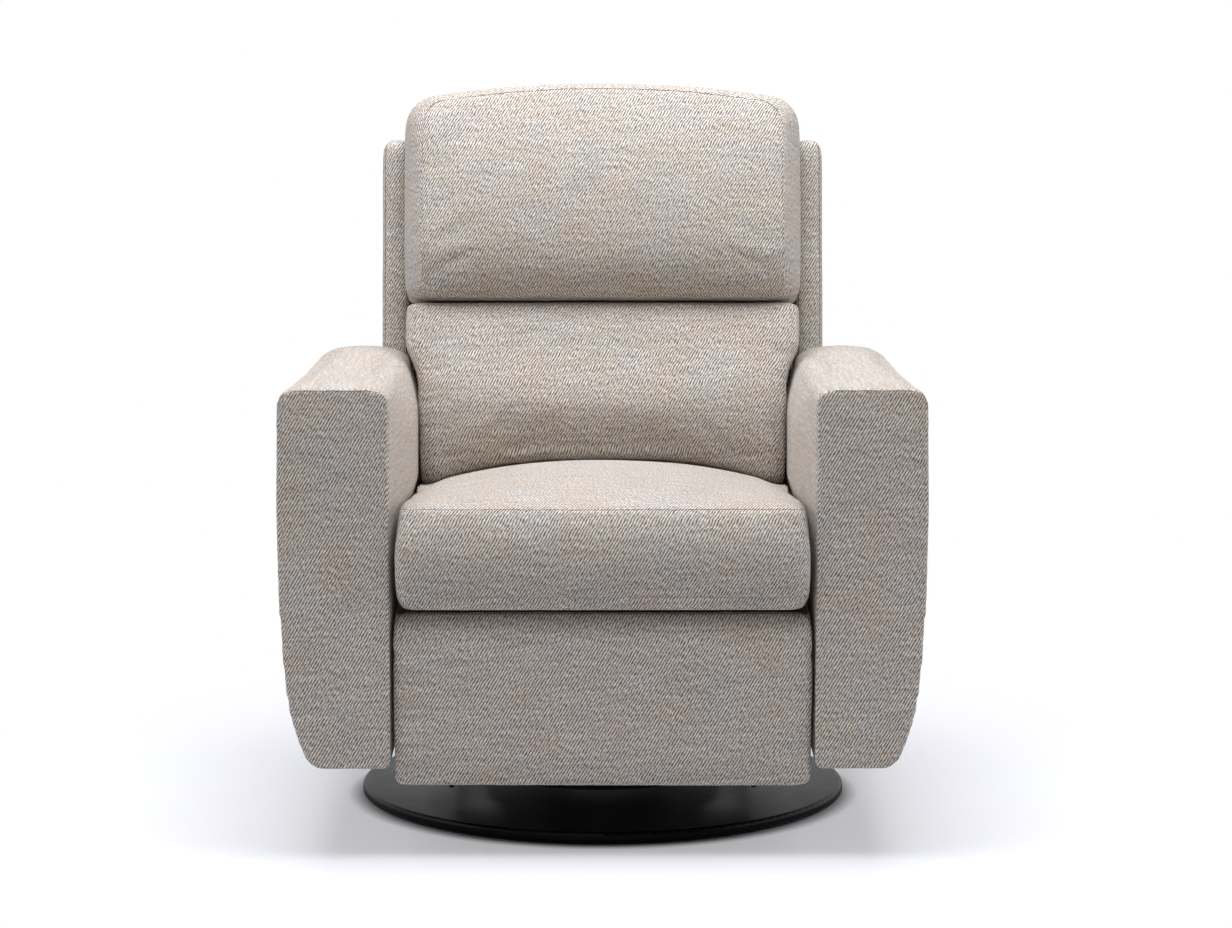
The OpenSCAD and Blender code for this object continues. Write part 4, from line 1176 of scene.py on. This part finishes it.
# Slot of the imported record, to the finish of the real material
SURFACES: dict[str, Surface] = {
    # Mild steel under a baked satin powder coat: near-black, low even gloss, orange peel of 1 mm
    "black_steel": Surface("powder_coated_steel", "0b0b0c", "121213", 900.0, specular=0.10),
    # Pressed steel with a thin grey electrocoat: dull, slightly patchy
    "grey_steel": Surface(
        "electrocoated_steel", "2b2c2e", "3a3b3e", 500.0, roughness=(0.42, 0.55), metallic=0.4
    ),
    # Turned steel with bright zinc plate: pale, faintly blue, drawn along its turning
    "zinc_steel": Surface(
        "zinc_plated_steel", "a9acb0", "c6c8cb", 700.0, roughness=(0.26, 0.40), metallic=1.0
    ),
    # Moulded nylon 6: milky, waxy and even
    "nylon": Surface("moulded_nylon", "d6d2c6", "e2dfd5", 400.0, roughness=(0.42, 0.50)),
    # Die-cut rubber sheet: black, dusty and matt
    "rubber_pad": Surface(
        "rubber_sheet", "121212", "1c1c1b", 1200.0, relief=0.0001, roughness=(0.75, 0.9)
    ),
    # Sawn pine: pale yellow-brown, grain drawn along the board, rough-sawn face
    "pine": Surface("sawn_pine", "b08a5a", "d3b283", 90.0, (1.0, 0.12, 1.0), 0.0003, (0.6, 0.75)),
    # Needled felt of mixed waste fibre: grey with darker flecks, no gloss
    "felt_pad": Surface(
        "needled_felt", "6c6a66", "8f8c87", 1500.0, relief=0.0006, roughness=(0.95, 1.0)
    ),
}


@dataclass
class Studio:
    """The plain white studio: floor, world, lamps and the camera at the photograph's place."""

    focal: float = 98.35
    eye: Triple = (0.0, -4.6989, 1.0584)
    pitch: float = 0.1252
    yaw: float = 0.004
    ambient: float = 0.105
    cool: Triple = (0.985, 0.99, 1.03)
    lamps: tuple[tuple[str, Triple, Triple, float, float], ...] = (
        ("overhead", (0.0, -0.32, 2.9), (0.0, 0.0, 0.4), 2.5, 103.0),
        ("left", (-2.8, -0.9, 1.8), (0.0, 0.0, 0.7), 1.8, 33.0),
        ("right", (2.8, -0.9, 1.8), (0.0, 0.0, 0.7), 1.8, 33.0),
    )
    floor_lift: float = 0.38

    def build(self) -> None:
        """Makes the camera, the light and the floor."""
        scene = bpy.context.scene
        scene.view_settings.view_transform = "Standard"
        camera = bpy.data.objects.new("camera", bpy.data.cameras.new("camera"))
        scene.collection.objects.link(camera)
        camera.data.lens = self.focal
        camera.data.sensor_width = 36.0
        camera.location = self.eye
        camera.rotation_euler = (math.pi / 2 - self.pitch, 0.0, -self.yaw)
        scene.camera = camera
        for name, place, aim, size, power in self.lamps:
            lamp = bpy.data.objects.new(name, bpy.data.lights.new(name, "AREA"))
            scene.collection.objects.link(lamp)
            lamp.data.shape = "SQUARE"
            lamp.data.size = size
            lamp.data.energy = power
            lamp.data.color = self.cool
            lamp.location = place
            lamp.rotation_euler = (Vector(aim) - Vector(place)).to_track_quat("-Z", "Y").to_euler()
        self.light_world(scene)
        self.lay_floor()

    def light_world(self, scene: bpy.types.Scene) -> None:
        """Gives a soft even light, and plain white to the eye and to reflections."""
        world = bpy.data.worlds.new("studio")
        scene.world = world
        tree = empty_tree(world)
        rays = put(tree, "LightPath")
        shown = rays.outputs["Is Camera Ray"]
        for ray in ("Is Glossy Ray", "Is Transmission Ray"):
            shown = put(tree, "Math", {0: shown, 1: rays.outputs[ray]}, operation="MAXIMUM")
        soft = put(tree, "Background", {"Color": linear("fff4ea"), "Strength": self.ambient})
        white = put(tree, "Background", {"Color": linear("ffffff"), "Strength": 1.0})
        mix = put(tree, "MixShader", {0: shown, 1: soft, 2: white})
        put(tree, "OutputWorld", {"Surface": mix})

    def lay_floor(self) -> None:
        """Lays a matt white floor that keeps the shadow and fades into the white."""
        Bench.clear()
        bpy.ops.mesh.primitive_plane_add(size=60.0, location=(0, 0, 0))
        floor = bpy.context.object
        floor.name = "floor"
        material = bpy.data.materials.new("studio_floor")
        tree = empty_tree(material)
        co = put(tree, "TexCoord").outputs["Object"]
        away = put(tree, "VectorMath", {0: co}, operation="LENGTH").outputs["Value"]
        far = put(tree, "MapRange", {"Value": away, "From Min": 0.60, "From Max": 1.0})
        seen = put(tree, "LightPath").outputs["Is Camera Ray"]
        fade = put(tree, "Math", {0: far, 1: seen}, operation="MULTIPLY")
        matt = put(tree, "BsdfDiffuse", {"Color": linear("cdced2")})
        # The floor glows for the camera to lift its shadow round the disc, but not on the ring that
        # touches the disc, which leaves painted contact shade there
        clear = put(tree, "MapRange", {"Value": away, "From Min": 0.339, "From Max": 0.362})
        raised = put(tree, "Math", {0: clear, 1: self.floor_lift}, operation="MULTIPLY")
        lift = put(tree, "Math", {0: seen, 1: raised}, operation="MULTIPLY")
        glow = put(tree, "Emission", {"Color": linear("fafbff"), "Strength": lift})
        near = put(tree, "AddShader", {0: matt, 1: glow})
        white = put(tree, "Emission", {"Color": linear("ffffff"), "Strength": 1.0})
        mix = put(tree, "MixShader", {0: fade, 1: near, 2: white})
        put(tree, "OutputMaterial", {"Surface": mix})
        floor.data.materials.append(material)


@dataclass
class Upholstery:
    """Every stuffed piece of the chair."""

    cloth: TwillCloth = field(default_factory=lambda: TwillCloth("woven_twill_upholstery"))

    def build(self) -> None:
        """Sews the seat, the back, the arms, the footrest and the skirt."""
        cloth = self.cloth.build()
        for kind, name, body, node, seed in (
            (SeatCushion, "seat_cushion_cover", "carriage", "seat_cushion", 2.0),
            (UpperPillow, "upper_pillow_cover", "back", "upper_back_pillow", 3.0),
            (LumbarCushion, "lumbar_cover", "back", "lumbar_cushion", 4.0),
            (ArmBody, "right_arm_cover", "carriage", "right_arm_upholstery", 6.0),
            (ArmFront, "right_arm_front_cover", "carriage", "right_arm_front", 7.0),
            (Wing, "right_wing_cover", "back", "right_back_wing", 8.0),
            (OutsideBack, "outside_back_cover", "back", "outside_back_panel", 9.0),
            (FootrestPad, "footrest_cover", "footrest", "footrest_cushion", 10.0),
            (RearSkirt, "rear_skirt_cover", "carriage", "rear_skirt", 11.0),
        ):
            piece = kind(name, body, (node,), cloth, seed=seed)
            made = piece.sew()
            if name.startswith("right"):
                piece.mirrored(made)


@dataclass
class Mechanism:
    """The steel, wood and rubber pieces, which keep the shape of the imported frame."""

    surfaces: dict[str, Surface] = field(default_factory=lambda: SURFACES)

    def build(self) -> None:
        """Gives every carried-over node the finish of its slot."""
        made = {slot: finish.build() for slot, finish in self.surfaces.items()}
        for row in frame["record"]["subparts"]:
            slot = row["material_slot"]
            if slot not in made:
                continue
            node = frame["nodes"][row["node"]]
            node.data.materials.clear()
            node.data.materials.append(made[slot])
            LOG.info("%s: %s", row["node"], made[slot].name)


def main() -> None:
    """Builds the studio, the mechanism and the upholstery, and notes the sizes."""
    logging.basicConfig(level=logging.INFO, format="%(name)s %(message)s")
    Studio().build()
    Mechanism().build()
    Upholstery().build()


if __name__ == "__main__":
    main()
